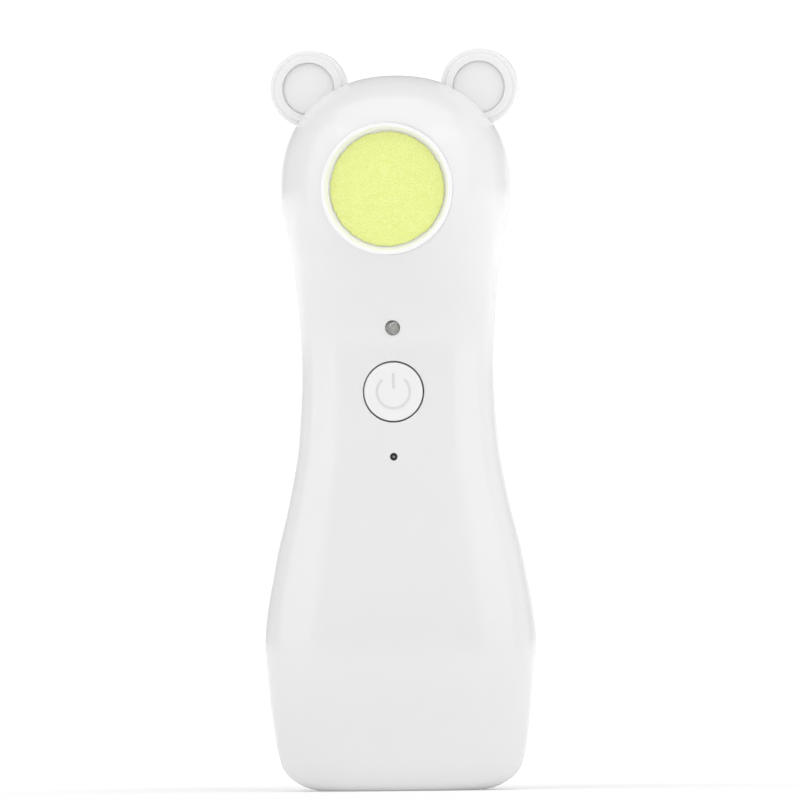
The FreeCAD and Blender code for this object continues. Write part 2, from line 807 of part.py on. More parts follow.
COVER_SCREW_ANGLES = (90, 195, 345)
COVER_SCREWS = []
for degrees in COVER_SCREW_ANGLES:
    across, rise = math.cos(math.radians(degrees)), math.sin(math.radians(degrees))
    COVER_SCREWS.append((f"{across:.5f} * cover_screw_circle",
                         f"head_height + {rise:.5f} * cover_screw_circle"))


def box_outline(name, front, back):
    """The gearbox's outline: a round for the gear, a lobe for the pinion and three screw ears."""
    pieces = [rod(name + "_round", "box_radius", front, back, "0", "head_height"),
              rod(name + "_lobe", "lobe_radius", front, back, "0", MOTOR_HEIGHT)]
    for i, (x, z) in enumerate(COVER_SCREWS):
        pieces.append(rod(f"{name}_ear_{i}", "screw_ear_radius", front, back, x, z))
    return pieces


def countersunk(name, across, height, tip):
    """A countersunk screw, or the hole for it, driven from the front of the cover."""
    head = doc.addObject("Part::Cone", name + "_head")
    head.setExpression("Radius1", bound("sunk_head"))
    head.setExpression("Radius2", bound("sunk_shank"))
    head.setExpression("Height", bound("sunk_head - sunk_shank"))
    place(head, across, "-seat_front", height, BACKWARD)
    shank = rod(name + "_shank", "sunk_shank", "-seat_front", tip, across, height)
    return joined(name, [head, shank])


cover_cuts = [rod("cover_bush_hole", "bush_radius", "-seat_front - overcut", "-cover_back + overcut",
                  "0", "head_height")]
cover_cuts += [countersunk(f"cover_hole_{i}", x, z, "-cover_back + overcut")
               for i, (x, z) in enumerate(COVER_SCREWS)]
keep(drilled("gearbox_cover", joined("cover_blank", box_outline("cover", "-seat_front", "-cover_back")),
             cover_cuts), "gearbox_cover")
keep(group("cover_screws", [countersunk(f"cover_screw_{i}", x, z, "-sunk_tip")
                            for i, (x, z) in enumerate(COVER_SCREWS)]), "cover_screws")

frame_adds = box_outline("frame", "-cover_back", "-box_back")
frame_adds.append(rod("frame_motor_seat", "motor_radius + motor_seat_wall", "-box_floor", "-box_back",
                      "0", MOTOR_HEIGHT))
for side, sign in SIDES.items():
    frame_adds.append(block(f"frame_strap_{side}", f"{sign} * lug_side - strap_half",
                            f"{sign} * lug_side + strap_half", "-lug_front", "-lug_back",
                            "head_height - lug_rise", "head_height + lug_rise"))
frame_adds += [rod(f"frame_lug_{i}", "lug_radius", "-lug_front", "-lug_back", x, z)
               for i, (x, z) in enumerate(LUGS)]
frame_cuts = [
    rod("frame_gear_room", "box_bore", "-cover_back - overcut", "-box_floor", "0", "head_height"),
    rod("frame_pinion_room", "lobe_bore", "-cover_back - overcut", "-box_floor", "0", MOTOR_HEIGHT),
    rod("frame_bush_hole", "bush_radius", "-box_floor - overcut", "-box_back + overcut", "0", "head_height"),
    rod("frame_boss_hole", "motor_boss", "-box_floor - overcut", "-box_back + overcut", "0", MOTOR_HEIGHT)]
frame_cuts += [rod(f"frame_lug_hole_{i}", "lug_screw_shank + screw_gap",
                   "-lug_front - overcut", "-lug_back + overcut", x, z)
               for i, (x, z) in enumerate(LUGS)]
frame_cuts += [rod(f"frame_ear_hole_{i}", "sunk_shank", "-cover_back - overcut", "-sunk_tip", x, z)
               for i, (x, z) in enumerate(COVER_SCREWS)]
keep(drilled("gearbox_frame", joined("frame_blank", frame_adds), frame_cuts), "gearbox_frame")


# ---------------------------------------------------------------- motor

def flat_can(name, radius, half, front, back):
    """A round bar with two flats, the section of the motor."""
    piece = doc.addObject("Part::Common", name)
    piece.Base = rod(name + "_round", radius, front, back, "0", MOTOR_HEIGHT)
    piece.Tool = block(name + "_flats", f"-({half})", half, front, back,
                       f"{MOTOR_HEIGHT} - 2 * motor_radius", f"{MOTOR_HEIGHT} + 2 * motor_radius")
    return piece


MOTOR_BACK = "motor_length - box_back"
can = drilled("can_tube", flat_can("can_outside", "motor_radius", "motor_flat", "-box_back", MOTOR_BACK),
              [flat_can("can_inside", "motor_radius - can_wall", "motor_flat - can_wall",
                        "can_wall - box_back", f"{MOTOR_BACK} + overcut")])
can_boss = rod("can_boss", "motor_boss", "-box_back - boss_rise", "-box_back", "0", MOTOR_HEIGHT)
keep(drilled("motor_can", joined("can_blank", [can, can_boss]), [
    rod("can_hole", "motor_shaft + running_gap", "-box_back - boss_rise - overcut", "0",
        "0", MOTOR_HEIGHT)]), "motor_can")
keep(drilled("motor_end_cap", flat_can("cap_disc", "motor_radius - can_wall", "motor_flat - can_wall",
                                       f"{MOTOR_BACK} - cap_thick", MOTOR_BACK), [
    rod("cap_hole", "motor_shaft + running_gap", f"{MOTOR_BACK} - cap_thick - overcut",
        f"{MOTOR_BACK} - cap_skin", "0", MOTOR_HEIGHT)]), "motor_end_cap")

magnet_ring = drilled("magnet_ring", rod("magnet_outside", "motor_radius - can_wall",
                                         "-magnet_front", "magnet_back", "0", MOTOR_HEIGHT), [
    rod("magnet_inside", "magnet_bore", "-magnet_front - overcut", "magnet_back + overcut",
        "0", MOTOR_HEIGHT)])
magnets = doc.addObject("Part::Common", "motor_magnets")
magnets.Base = magnet_ring
magnets.Tool = block("magnet_band", "magnet_trim - magnet_bore", "magnet_bore - magnet_trim",
                     "-magnet_front", "magnet_back",
                     f"{MOTOR_HEIGHT} - 2 * motor_radius", f"{MOTOR_HEIGHT} + 2 * motor_radius")
keep(magnets, "motor_magnets")

keep(group("motor_terminals", [
    block(f"terminal_{side}", f"{sign} * terminal_side - terminal_half",
          f"{sign} * terminal_side + terminal_half", MOTOR_BACK, f"{MOTOR_BACK} + terminal_length",
          f"{MOTOR_HEIGHT} - terminal_rise", f"{MOTOR_HEIGHT} + terminal_rise")
    for side, sign in SIDES.items()]), "motor_terminals")
keep(group("motor_brushes", [
    block(f"brush_{side}", "-brush_half", "brush_half", "brush_front", "brush_back", *sorted(
        (f"{MOTOR_HEIGHT} + {sign} * brush_inner", f"{MOTOR_HEIGHT} + {sign} * brush_outer"), key=size))
    for side, sign in SIDES.items()]), "motor_brushes")


def motor_armature():
    """The armature stack: a round pad with three slots set around it."""
    body = doc.addObject("PartDesign::Body", "motor_armature")
    sketch = new_sketch(body, "XZ_Plane", "armature_round", "-magnet_back")
    draw_circle(sketch, "0", "0", "rotor_radius")
    draw_circle(sketch, "0", "0", "motor_shaft")
    pad = body.newObject("PartDesign::Pad", "armature_pad")
    pad.Profile = sketch
    pad.setExpression("Length", bound("magnet_back + magnet_front"))
    doc.recompute()
    slot = new_sketch(body, "XZ_Plane", "armature_slot")
    draw_outline(slot, corners_of("-slot_half", "slot_half", "slot_floor", "rotor_radius + overcut"))
    pocket = body.newObject("PartDesign::Pocket", "armature_pocket")
    pocket.Profile = slot
    pocket.Type = "ThroughAll"
    pocket.Midplane = True
    doc.recompute()
    pattern = body.newObject("PartDesign::PolarPattern", "armature_slots")
    pattern.Originals = [pocket]
    pattern.Axis = (slot, ["N_Axis"])
    pattern.Angle = 360
    pattern.Occurrences = POLES
    body.Tip = pattern
    return keep(place(body, "0", "0", MOTOR_HEIGHT), "motor_armature")


POLES = 3
motor_armature()
coils = []
for i in range(POLES):
    angle = math.pi / 2 + 2 * math.pi * i / POLES
    coils.append(rod(f"coil_{i}", "slot_half - fit_gap",
                     "-magnet_front - coil_stand", "magnet_back + coil_stand",
                     f"{math.cos(angle):.5f} * coil_circle",
                     f"{MOTOR_HEIGHT} + {math.sin(angle):.5f} * coil_circle"))
keep(group("motor_windings", coils), "motor_windings")
washer("motor_commutator", "commutator_radius", "motor_shaft", "commutator_front", "commutator_back",
       MOTOR_HEIGHT)
keep(rod("motor_shaft_rod", "motor_shaft", "-pinion_front", f"{MOTOR_BACK} - cap_skin - end_gap",
         "0", MOTOR_HEIGHT), "motor_shaft")


# ---------------------------------------------------------------- main board and controls

board = plate("main_board", corners_of("-board_half", "board_half", "board_bottom", "board_top"),
              "-board_front", "-board_back")
round_edges(board, "board_corner", runs_along_depth)
through_holes(board, "XZ_Plane", "board_holes",
              [(x, z, "board_screw_shank + screw_gap") for x, z in BOARD_POSTS])
keep(board, "main_board")

# What stands on the board's rear face: left, right, low, high, thickness.
CHIPS = {
    "controller": (-8.0, -3.0, 74.0, 79.0, 1.0),
    "motor_driver": (1.5, 6.5, 84.0, 88.0, 1.5),
    "coil": (-8.0, -4.0, 84.0, 88.0, 2.0),
    "motor_socket": (-3.5, 3.5, 92.0, 95.0, 3.0),
    "cell_socket": (-6.0, -2.0, 66.0, 69.0, 3.0),
    "charge_socket": (2.0, 6.0, 66.0, 69.0, 3.0),
}
keep(group("board_components", [
    block(chip, left, right, "-board_back", f"{thick} - board_back", low, high)
    for chip, (left, right, low, high, thick) in CHIPS.items()]), "board_components")

keep(drilled("tact_switch_body", block(
    "switch_block", "-switch_size / 2", "switch_size / 2", "-switch_front", "-board_front",
    "button_height - switch_size / 2", "button_height + switch_size / 2"), [
    rod("switch_bore", "plunger_radius + plunger_gap", "-switch_front - overcut",
        "-switch_front + switch_bore_depth", "0", "button_height")]), "tact_switch_body")
keep(rod("plunger", "plunger_radius", "-plunger_front", "-plunger_front + plunger_length",
         "0", "button_height"), "tact_plunger")

keep(turned("button_cap", [
    ("0", "dish_depth - button_front"), ("dish_floor", "dish_depth - button_front"),
    ("dish_radius", "-button_front"), ("button_radius - button_chamfer", "-button_front"),
    ("button_radius", "button_chamfer - button_front"),
    ("button_radius", "-button_lip_front"), ("button_lip_radius", "-button_lip_front"),
    ("button_lip_radius", "-button_lip_back"), ("button_radius - button_wall", "-button_lip_back"),
    ("button_radius - button_wall", "button_thick - button_front"),
    ("stem_radius", "button_thick - button_front"), ("stem_radius", "-plunger_front"),
    ("0", "-plunger_front")], "0", "button_height"), "button_cap")


MARK_OPENING = math.radians(46)      # half the gap in the ring


def power_mark():
    """The power symbol on the button: an open ring and an upright bar, a thin raised print."""
    front, back = "dish_depth - button_front - mark_thick", "dish_depth - button_front"
    ring = bar("mark_radius + mark_stroke / 2", front, back, "0", "button_height")
    ring = ring.cut(bar("mark_radius - mark_stroke / 2", front, back, "0", "button_height"))
    rise = size("button_radius")
    opening = rise * math.tan(MARK_OPENING)
    start = Vector(0, -size("beyond"), size("button_height"))
    wedge = Part.makePolygon([start, start + Vector(opening, 0, rise), start + Vector(-opening, 0, rise),
                              start])
    ring = ring.cut(Part.Face(wedge).extrude(Vector(0, size("beyond"), 0)))
    upright = brick("-mark_stroke / 2", "mark_stroke / 2", front, back,
                    "button_height + mark_bar_low", "button_height + mark_bar_high")
    return Part.makeCompound([ring, upright])


computed("power_mark", power_mark())

# The lamp's dome is a half round, in steps.
dome = []
for degrees in (0, 30, 60, 90):
    across, back = math.sin(math.radians(degrees)), 1 - math.cos(math.radians(degrees))
    dome.append((f"{across:.4f} * lamp_radius", f"{back:.4f} * lamp_radius - lamp_front"))
lamp = turned("lamp_body", dome + [
    ("lamp_radius", "-lamp_flange_front"), ("lamp_radius + lamp_flange", "-lamp_flange_front"),
    ("lamp_radius + lamp_flange", "-lamp_flange_back"), ("0", "-lamp_flange_back")], "0", "lamp_height")
lamp_legs = [rod(f"lamp_leg_{side}", "leg_radius", "-lamp_flange_back", "-board_front",
                 f"{sign} * leg_side", "lamp_height") for side, sign in SIDES.items()]
keep(joined("work_light_led", [lamp] + lamp_legs), "work_light_led")

keep(turned("indicator_sleeve", [
    ("pipe_radius", "-signal_front"), ("signal_radius - sleeve_gap", "-signal_front"),
    ("signal_radius - sleeve_gap", "-sleeve_lip_front"), ("sleeve_lip_radius", "-sleeve_lip_front"),
    ("sleeve_lip_radius", "-sleeve_lip_back"), ("pipe_radius", "-sleeve_lip_back")],
    "0", "signal_height"), "indicator_sleeve")
keep(rod("pipe", "pipe_radius", "pipe_inset - signal_front", "-pipe_back", "0", "signal_height"),
     "indicator_light_pipe")
keep(block("indicator", "-indicator_half", "indicator_half", "-indicator_front", "-board_front",
           "signal_height - indicator_rise", "signal_height + indicator_rise"), "indicator_led")


# ---------------------------------------------------------------- battery and charging port

cell = plate("battery_cell", corners_of("-cell_half", "cell_half", "cell_bottom", "cell_top"),
             "0", "cell_thick")
round_edges(cell, "cell_corner", runs_along_depth)
keep(cell, "battery_cell")
keep(block("foam", "foam_inset - cell_half", "cell_half - foam_inset",
           "cell_thick", "cell_thick + foam_thick",
           "cell_bottom + foam_end", "cell_top - foam_end"), "battery_pad")
keep(block("charger", "-charge_board_half", "charge_board_half", "port_depth + port_thick / 2",
           "charge_board_back", "charge_board_bottom", "charge_board_top"), "charge_board")
port_top = "port_recess + port_length"
port = lozenge("port_width", "port_thick", "port_recess", port_top, "port_depth")
port = port.cut(lozenge("port_width - 2 * port_wall", "port_thick - 2 * port_wall",
                        "port_recess - overcut", f"{port_top} - port_end_wall", "port_depth"))
computed("usb_c_shell", port)
keep(block("tongue", "-tongue_half", "tongue_half",
           "port_depth - tongue_rise", "port_depth + tongue_rise",
           "port_recess + tongue_recess", f"{port_top} - port_end_wall"), "usb_c_tongue")


# ---------------------------------------------------------------- wires

BEND_SHARE = 0.45


def wire(route):
    """A round wire along straight runs joined by tangent arcs."""
    points = [Vector(*[size(text) for text in point]) for point in route]
    edges = []
    start = points[0]
    for before, corner, after in zip(points, points[1:], points[2:]):
        into, out = (corner - before).normalize(), (after - corner).normalize()
        reach = BEND_SHARE * min((corner - before).Length, (after - corner).Length)
        turn = into.getAngle(out)
        radius = reach / math.tan(turn / 2)
        print(f"wire bend radius {radius:.1f} mm")
        leave, join = corner - into * reach, corner + out * reach
        inner = (out - into).normalize()
        middle = corner + inner * (radius / math.cos(turn / 2) - radius)
        edges.append(Part.makeLine(start, leave))
        edges.append(Part.Arc(leave, middle, join).toShape())
        start = join
    edges.append(Part.makeLine(start, points[-1]))
    first = points[1] - points[0]
    ring = Part.Wire(Part.makeCircle(size("wire_radius"), points[0], first))
    return Part.Wire(edges).makePipeShell([ring], True, True)


lead_depth = f"{MOTOR_BACK} + terminal_length / 2"
computed("motor_leads", Part.makeCompound([wire([
    (f"{sign} * terminal_side", lead_depth, f"{MOTOR_HEIGHT} - terminal_rise"),
    (f"{sign} * terminal_side", lead_depth, "103.5"),
    (f"{sign} * 1.5", "socket_depth", "101.5"), (f"{sign} * 1.5", "socket_depth", "95")])
    for sign in SIDES.values()]))
computed("battery_leads", Part.makeCompound([wire([
    (across, "cell_thick / 2", "cell_top"), (across, "cell_thick / 2", "cell_top + 3.5"),
    (across, "socket_depth", "62.5"), (across, "socket_depth", "66")]) for across in ("-5", "-3")]))
computed("charge_leads", Part.makeCompound([wire([
    (across, "charge_board_back - wire_radius", "charge_board_top"),
    (across, "charge_board_back - wire_radius", "charge_board_top + 1.8"), (across, "8.8", "15.6"),
    (across, "8.8", "cell_top + 1"), (across, "socket_depth", "61.5"), (across, "socket_depth", "66")])
    for across in ("3", "5")]))


# ---------------------------------------------------------------- check and write

doc.recompute()
for item in doc.Objects:
    if "Invalid" in item.State or "Error" in item.State:
        raise RuntimeError(f"{item.Label}: {item.State}")
for piece in subparts:
    if piece.Shape.isNull() or not piece.Shape.isValid():
        raise RuntimeError(f"{piece.Label} has no valid shape")

os.makedirs("parts", exist_ok=True)
for piece in subparts:
    piece.Shape.exportStep(f"parts/{piece.Label}.step")
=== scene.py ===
import json
import math
import random

import bmesh
import bpy
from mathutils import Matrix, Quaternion, Vector, noise


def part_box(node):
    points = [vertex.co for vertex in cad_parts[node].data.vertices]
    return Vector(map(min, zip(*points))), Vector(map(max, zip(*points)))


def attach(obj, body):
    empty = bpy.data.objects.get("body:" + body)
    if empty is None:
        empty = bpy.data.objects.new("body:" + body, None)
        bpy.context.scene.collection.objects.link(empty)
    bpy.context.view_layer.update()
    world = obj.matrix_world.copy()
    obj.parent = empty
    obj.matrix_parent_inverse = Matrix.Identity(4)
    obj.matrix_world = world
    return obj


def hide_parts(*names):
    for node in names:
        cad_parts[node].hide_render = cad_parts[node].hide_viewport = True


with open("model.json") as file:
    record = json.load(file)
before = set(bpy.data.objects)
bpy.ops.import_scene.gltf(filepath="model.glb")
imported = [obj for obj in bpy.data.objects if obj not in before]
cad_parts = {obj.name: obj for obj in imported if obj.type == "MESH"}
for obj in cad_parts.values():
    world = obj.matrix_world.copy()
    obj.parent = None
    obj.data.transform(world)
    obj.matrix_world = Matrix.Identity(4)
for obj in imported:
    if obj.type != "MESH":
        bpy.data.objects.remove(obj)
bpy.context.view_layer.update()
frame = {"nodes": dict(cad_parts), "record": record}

# Lengths below are millimetres, and become metres when a mesh is made. Depths are measured from the
# seam plane between the housing halves, negative towards the front.
MM = 0.001
BOARD_TO_SEAM = 1.2            # the main board's back lies this far in front of the seam plane
TINY = 1e-6


def centre_of(node):
    """The middle of a CAD node's box, in millimetres."""
    low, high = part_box(node)
    return (Vector(low) + Vector(high)) / 2 / MM


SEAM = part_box("main_board")[1][1] / MM + BOARD_TO_SEAM
SPINDLE_Z = centre_of("abrasive_disc").z
DISC_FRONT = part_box("abrasive_disc")[0][1] / MM - SEAM
DISC_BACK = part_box("abrasive_disc")[1][1] / MM - SEAM
RIM_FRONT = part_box("bezel_cup")[0][1] / MM - SEAM
CUP_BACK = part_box("bezel_cup")[1][1] / MM - SEAM
LAMP_Z = centre_of("work_light_led").z
LAMP_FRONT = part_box("work_light_led")[0][1] / MM - SEAM
BUTTON_Z = centre_of("button_cap").z
BUTTON_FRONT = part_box("button_cap")[0][1] / MM - SEAM
BUTTON_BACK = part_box("button_cap")[1][1] / MM - SEAM
SIGNAL_Z = centre_of("indicator_led").z
SIGNAL_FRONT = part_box("indicator_sleeve")[0][1] / MM - SEAM
PORT = centre_of("usb_c_shell")


# ---------------------------------------------------------------- mesh helpers

def add_mesh(name, verts, faces, body, material, replaced=(), smooth=True):
    """A piece from vertices in millimetres and faces, riding on a body."""
    mesh = bpy.data.meshes.new(name)
    mesh.from_pydata([Vector(v) * MM for v in verts], [], faces)
    tidy = bmesh.new()
    tidy.from_mesh(mesh)
    bmesh.ops.delete(tidy, geom=[v for v in tidy.verts if not v.link_faces], context="VERTS")
    bmesh.ops.recalc_face_normals(tidy, faces=tidy.faces)
    tidy.to_mesh(mesh)
    tidy.free()
    for polygon in mesh.polygons:
        polygon.use_smooth = smooth
    mesh.materials.append(material)
    piece = bpy.data.objects.new(name, mesh)
    bpy.context.scene.collection.objects.link(piece)
    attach(piece, body)
    if replaced:
        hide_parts(*replaced)
    return piece


def rounded(corners, steps=4):
    """An outline whose corners (across, up, radius) are replaced by arcs; the ends stay as they are."""
    points = [Vector(corners[0][:2])]
    for i in range(1, len(corners) - 1):
        before = Vector(corners[i - 1][:2])
        corner = Vector(corners[i][:2])
        after = Vector(corners[i + 1][:2])
        radius = corners[i][2] if len(corners[i]) > 2 else 0
        if radius <= 0:
            points.append(corner)
            continue
        into = (corner - before).normalized()
        out = (after - corner).normalized()
        turn = into.angle(out)
        reach = min(radius * math.tan(turn / 2), (corner - before).length * 0.499,
                    (after - corner).length * 0.499)
        radius = reach / math.tan(turn / 2)
        inward = (out - into).normalized()
        hub = corner + inward * (radius / math.cos(turn / 2))
        start = corner - into * reach - hub
        end = corner + out * reach - hub
        for k in range(steps + 1):
            t = k / steps
            arm = start * math.sin((1 - t) * turn) + end * math.sin(t * turn)
            points.append(hub + arm / math.sin(turn))
    points.append(Vector(corners[-1][:2]))
    return points


def lathe(outline, x, z, segments, closed=False):
    """Vertices and faces of an outline of (radius, depth) turned about an axis along Y."""
    verts, faces, rings = [], [], []
    for radius, depth in outline:
        if radius < TINY:
            rings.append([len(verts)])
            verts.append((x, SEAM + depth, z))
            continue
        rings.append(list(range(len(verts), len(verts) + segments)))
        for i in range(segments):
            angle = 2 * math.pi * i / segments
            verts.append((x + radius * math.cos(angle), SEAM + depth, z + radius * math.sin(angle)))
    pairs = list(zip(rings, rings[1:]))
    if closed:
        pairs.append((rings[-1], rings[0]))
    for one, two in pairs:
        for i in range(segments):
            j = (i + 1) % segments
            corners = [one[i % len(one)], one[j % len(one)], two[j % len(two)], two[i % len(two)]]
            corners = list(dict.fromkeys(corners))
            if len(corners) > 2:
                faces.append(corners)
    return verts, faces


# ---------------------------------------------------------------- materials

def new_material(name):
    """A material's tree, its shader and a function that adds a node with given inputs."""
    material = bpy.data.materials.new(name)
    material.use_nodes = True
    tree = material.node_tree
    shader = tree.nodes["Principled BSDF"]

    def node(kind, values=None, **links):
        made = tree.nodes.new(kind)
        for key, value in (values or {}).items():
            if hasattr(made, key):
                setattr(made, key, value)
            else:
                made.inputs[key].default_value = value
        for key, source in links.items():
            tree.links.new(source, made.inputs[key.replace("_", " ")])
        return made

    return material, tree, shader, node


def ramp_between(node, tree, source, low, high, start=0.0, end=1.0):
    """A colour ramp from low to high along a value."""
    ramp = node("ShaderNodeValToRGB")
    ramp.color_ramp.elements[0].color = (*low, 1)
    ramp.color_ramp.elements[1].color = (*high, 1)
    ramp.color_ramp.elements[0].position = start
    ramp.color_ramp.elements[1].position = end
    tree.links.new(source, ramp.inputs["Fac"])
    return ramp


def moulded(name, colour, rough, grain=2500.0, bump=0.02, spread=0.012, coat=0.0, skin=0.0):
    """Moulded plastic or rubber: slight tone drift, uneven polish and a fine moulded grain."""
    material, tree, shader, node = new_material(name)
    place = node("ShaderNodeTexCoord").outputs["Object"]
    drift = node("ShaderNodeTexNoise", {"Scale": 45.0, "Detail": 3.0}, Vector=place)
    low = tuple(c * (1 - spread) for c in colour)
    high = tuple(min(c * (1 + spread), 1.0) for c in colour)
    tone = ramp_between(node, tree, drift.outputs["Fac"], low, high, 0.35, 0.65)
    tree.links.new(tone.outputs["Color"], shader.inputs["Base Color"])
    smudge = node("ShaderNodeTexNoise", {"Scale": 120.0, "Detail": 4.0}, Vector=place)
    polish = node("ShaderNodeMapRange", {"To Min": rough * 0.9, "To Max": rough * 1.12},
                  Value=smudge.outputs["Fac"])
    tree.links.new(polish.outputs["Result"], shader.inputs["Roughness"])
    fine = node("ShaderNodeTexNoise", {"Scale": grain, "Detail": 2.0}, Vector=place)
    relief = node("ShaderNodeBump", {"Strength": bump, "Distance": 0.0002},
                  Height=fine.outputs["Fac"])
    tree.links.new(relief.outputs["Normal"], shader.inputs["Normal"])
    shader.inputs["IOR"].default_value = 1.54
    shader.inputs["Coat Weight"].default_value = coat
    shader.inputs["Coat Roughness"].default_value = 0.08
    shader.inputs["Subsurface Weight"].default_value = skin
    shader.inputs["Subsurface Radius"].default_value = (0.6, 0.55, 0.5)
    shader.inputs["Subsurface Scale"].default_value = 0.002
    return material


def metal(name, colour, rough, stretch=(1.0, 1.0, 30.0), bump=0.05):
    """Metal with fine drawn or turned lines."""
    material, tree, shader, node = new_material(name)
    place = node("ShaderNodeTexCoord").outputs["Object"]
    lines = node("ShaderNodeMapping", {"Scale": stretch}, Vector=place)
    streak = node("ShaderNodeTexNoise", {"Scale": 900.0, "Detail": 4.0},
                  Vector=lines.outputs["Vector"])
    tone = ramp_between(node, tree, streak.outputs["Fac"], tuple(c * 0.82 for c in colour), colour,
                        0.3, 0.7)
    tree.links.new(tone.outputs["Color"], shader.inputs["Base Color"])
    polish = node("ShaderNodeMapRange", {"To Min": rough * 0.8, "To Max": rough * 1.3},
                  Value=streak.outputs["Fac"])
    tree.links.new(polish.outputs["Result"], shader.inputs["Roughness"])
    relief = node("ShaderNodeBump", {"Strength": bump, "Distance": 0.0001},
                  Height=streak.outputs["Fac"])
    tree.links.new(relief.outputs["Normal"], shader.inputs["Normal"])
    shader.inputs["Metallic"].default_value = 1.0
    return material


MIX_FIRST, MIX_SECOND, MIX_COLOUR = 6, 7, 2      # a Mix node's two colour inputs and its colour output


def grit():
    """Bonded abrasive: packed pale yellow-green grains with lighter tips and darker gaps."""
    material, tree, shader, node = new_material("abrasive_grit")
    place = node("ShaderNodeTexCoord").outputs["Object"]
    grains = node("ShaderNodeTexVoronoi", {"Scale": 3200.0, "Randomness": 1.0}, Vector=place)
    clumps = node("ShaderNodeTexNoise", {"Scale": 700.0, "Detail": 5.0, "Roughness": 0.7}, Vector=place)
    tone = ramp_between(node, tree, grains.outputs["Distance"], ABRASIVE_TIP, ABRASIVE_GAP, 0.15, 0.95)
    patch = ramp_between(node, tree, clumps.outputs["Fac"], ABRASIVE_DEEP, ABRASIVE_PALE, 0.3, 0.7)
    mixed = node("ShaderNodeMix", {"data_type": "RGBA", "blend_type": "MIX"})
    mixed.inputs["Factor"].default_value = 0.5
    tree.links.new(tone.outputs["Color"], mixed.inputs[MIX_FIRST])
    tree.links.new(patch.outputs["Color"], mixed.inputs[MIX_SECOND])
    tree.links.new(mixed.outputs[MIX_COLOUR], shader.inputs["Base Color"])
    polish = node("ShaderNodeMapRange", {"To Min": 0.62, "To Max": 0.9},
                  Value=clumps.outputs["Fac"])
    tree.links.new(polish.outputs["Result"], shader.inputs["Roughness"])
    relief = node("ShaderNodeBump", {"Strength": 0.6, "Distance": 0.0002, "invert": True},
                  Height=grains.outputs["Distance"])
    tree.links.new(relief.outputs["Normal"], shader.inputs["Normal"])
    return material


def clear_lens():
    """Clear epoxy with faint inner haze."""
    material, tree, shader, node = new_material("clear_epoxy")
    place = node("ShaderNodeTexCoord").outputs["Object"]
    haze = node("ShaderNodeTexNoise", {"Scale": 1500.0, "Detail": 2.0}, Vector=place)
    polish = node("ShaderNodeMapRange", {"To Min": 0.04, "To Max": 0.14}, Value=haze.outputs["Fac"])
    tree.links.new(polish.outputs["Result"], shader.inputs["Roughness"])
    tone = ramp_between(node, tree, haze.outputs["Fac"], (0.9, 0.89, 0.86), (0.98, 0.98, 0.97))
    tree.links.new(tone.outputs["Color"], shader.inputs["Base Color"])
    shader.inputs["Transmission Weight"].default_value = 0.76
    shader.inputs["IOR"].default_value = 1.5
    return material


def circuit():
    """Green solder mask over copper tracks."""
    material, tree, shader, node = new_material("circuit_board")
    place = node("ShaderNodeTexCoord").outputs["Object"]
    tracks = node("ShaderNodeTexBrick", {"Scale": 260.0, "Mortar Size": 0.05, "offset": 0.5}, Vector=place)
    tracks.inputs["Color1"].default_value = (0.015, 0.13, 0.05, 1)
    tracks.inputs["Color2"].default_value = (0.02, 0.16, 0.06, 1)
    tracks.inputs["Mortar"].default_value = (0.08, 0.34, 0.14, 1)
    tree.links.new(tracks.outputs["Color"], shader.inputs["Base Color"])
    speck = node("ShaderNodeTexNoise", {"Scale": 2000.0, "Detail": 2.0}, Vector=place)
    polish = node("ShaderNodeMapRange", {"To Min": 0.25, "To Max": 0.45}, Value=speck.outputs["Fac"])
    tree.links.new(polish.outputs["Result"], shader.inputs["Roughness"])
    relief = node("ShaderNodeBump", {"Strength": 0.3, "Distance": 0.0001}, Height=tracks.outputs["Fac"])
    tree.links.new(relief.outputs["Normal"], shader.inputs["Normal"])
    return material


def felt():
    """Pressed felt."""
    material, tree, shader, node = new_material("pressed_felt")
    place = node("ShaderNodeTexCoord").outputs["Object"]
    fibres = node("ShaderNodeTexNoise", {"Scale": 4000.0, "Detail": 8.0, "Distortion": 1.5}, Vector=place)
    tone = ramp_between(node, tree, fibres.outputs["Fac"], (0.42, 0.4, 0.37), (0.7, 0.68, 0.64), 0.3, 0.7)
    tree.links.new(tone.outputs["Color"], shader.inputs["Base Color"])
    relief = node("ShaderNodeBump", {"Strength": 0.9, "Distance": 0.0003}, Height=fibres.outputs["Fac"])
    tree.links.new(relief.outputs["Normal"], shader.inputs["Normal"])
    shader.inputs["Roughness"].default_value = 0.95
    shader.inputs["Sheen Weight"].default_value = 0.4
    return material


WHITE = (0.8, 0.8, 0.802)
ABRASIVE_TIP = (0.9, 0.96, 0.36)
ABRASIVE_GAP = (0.72, 0.8, 0.2)
ABRASIVE_DEEP = (0.8, 0.88, 0.25)
ABRASIVE_PALE = (0.92, 0.97, 0.42)

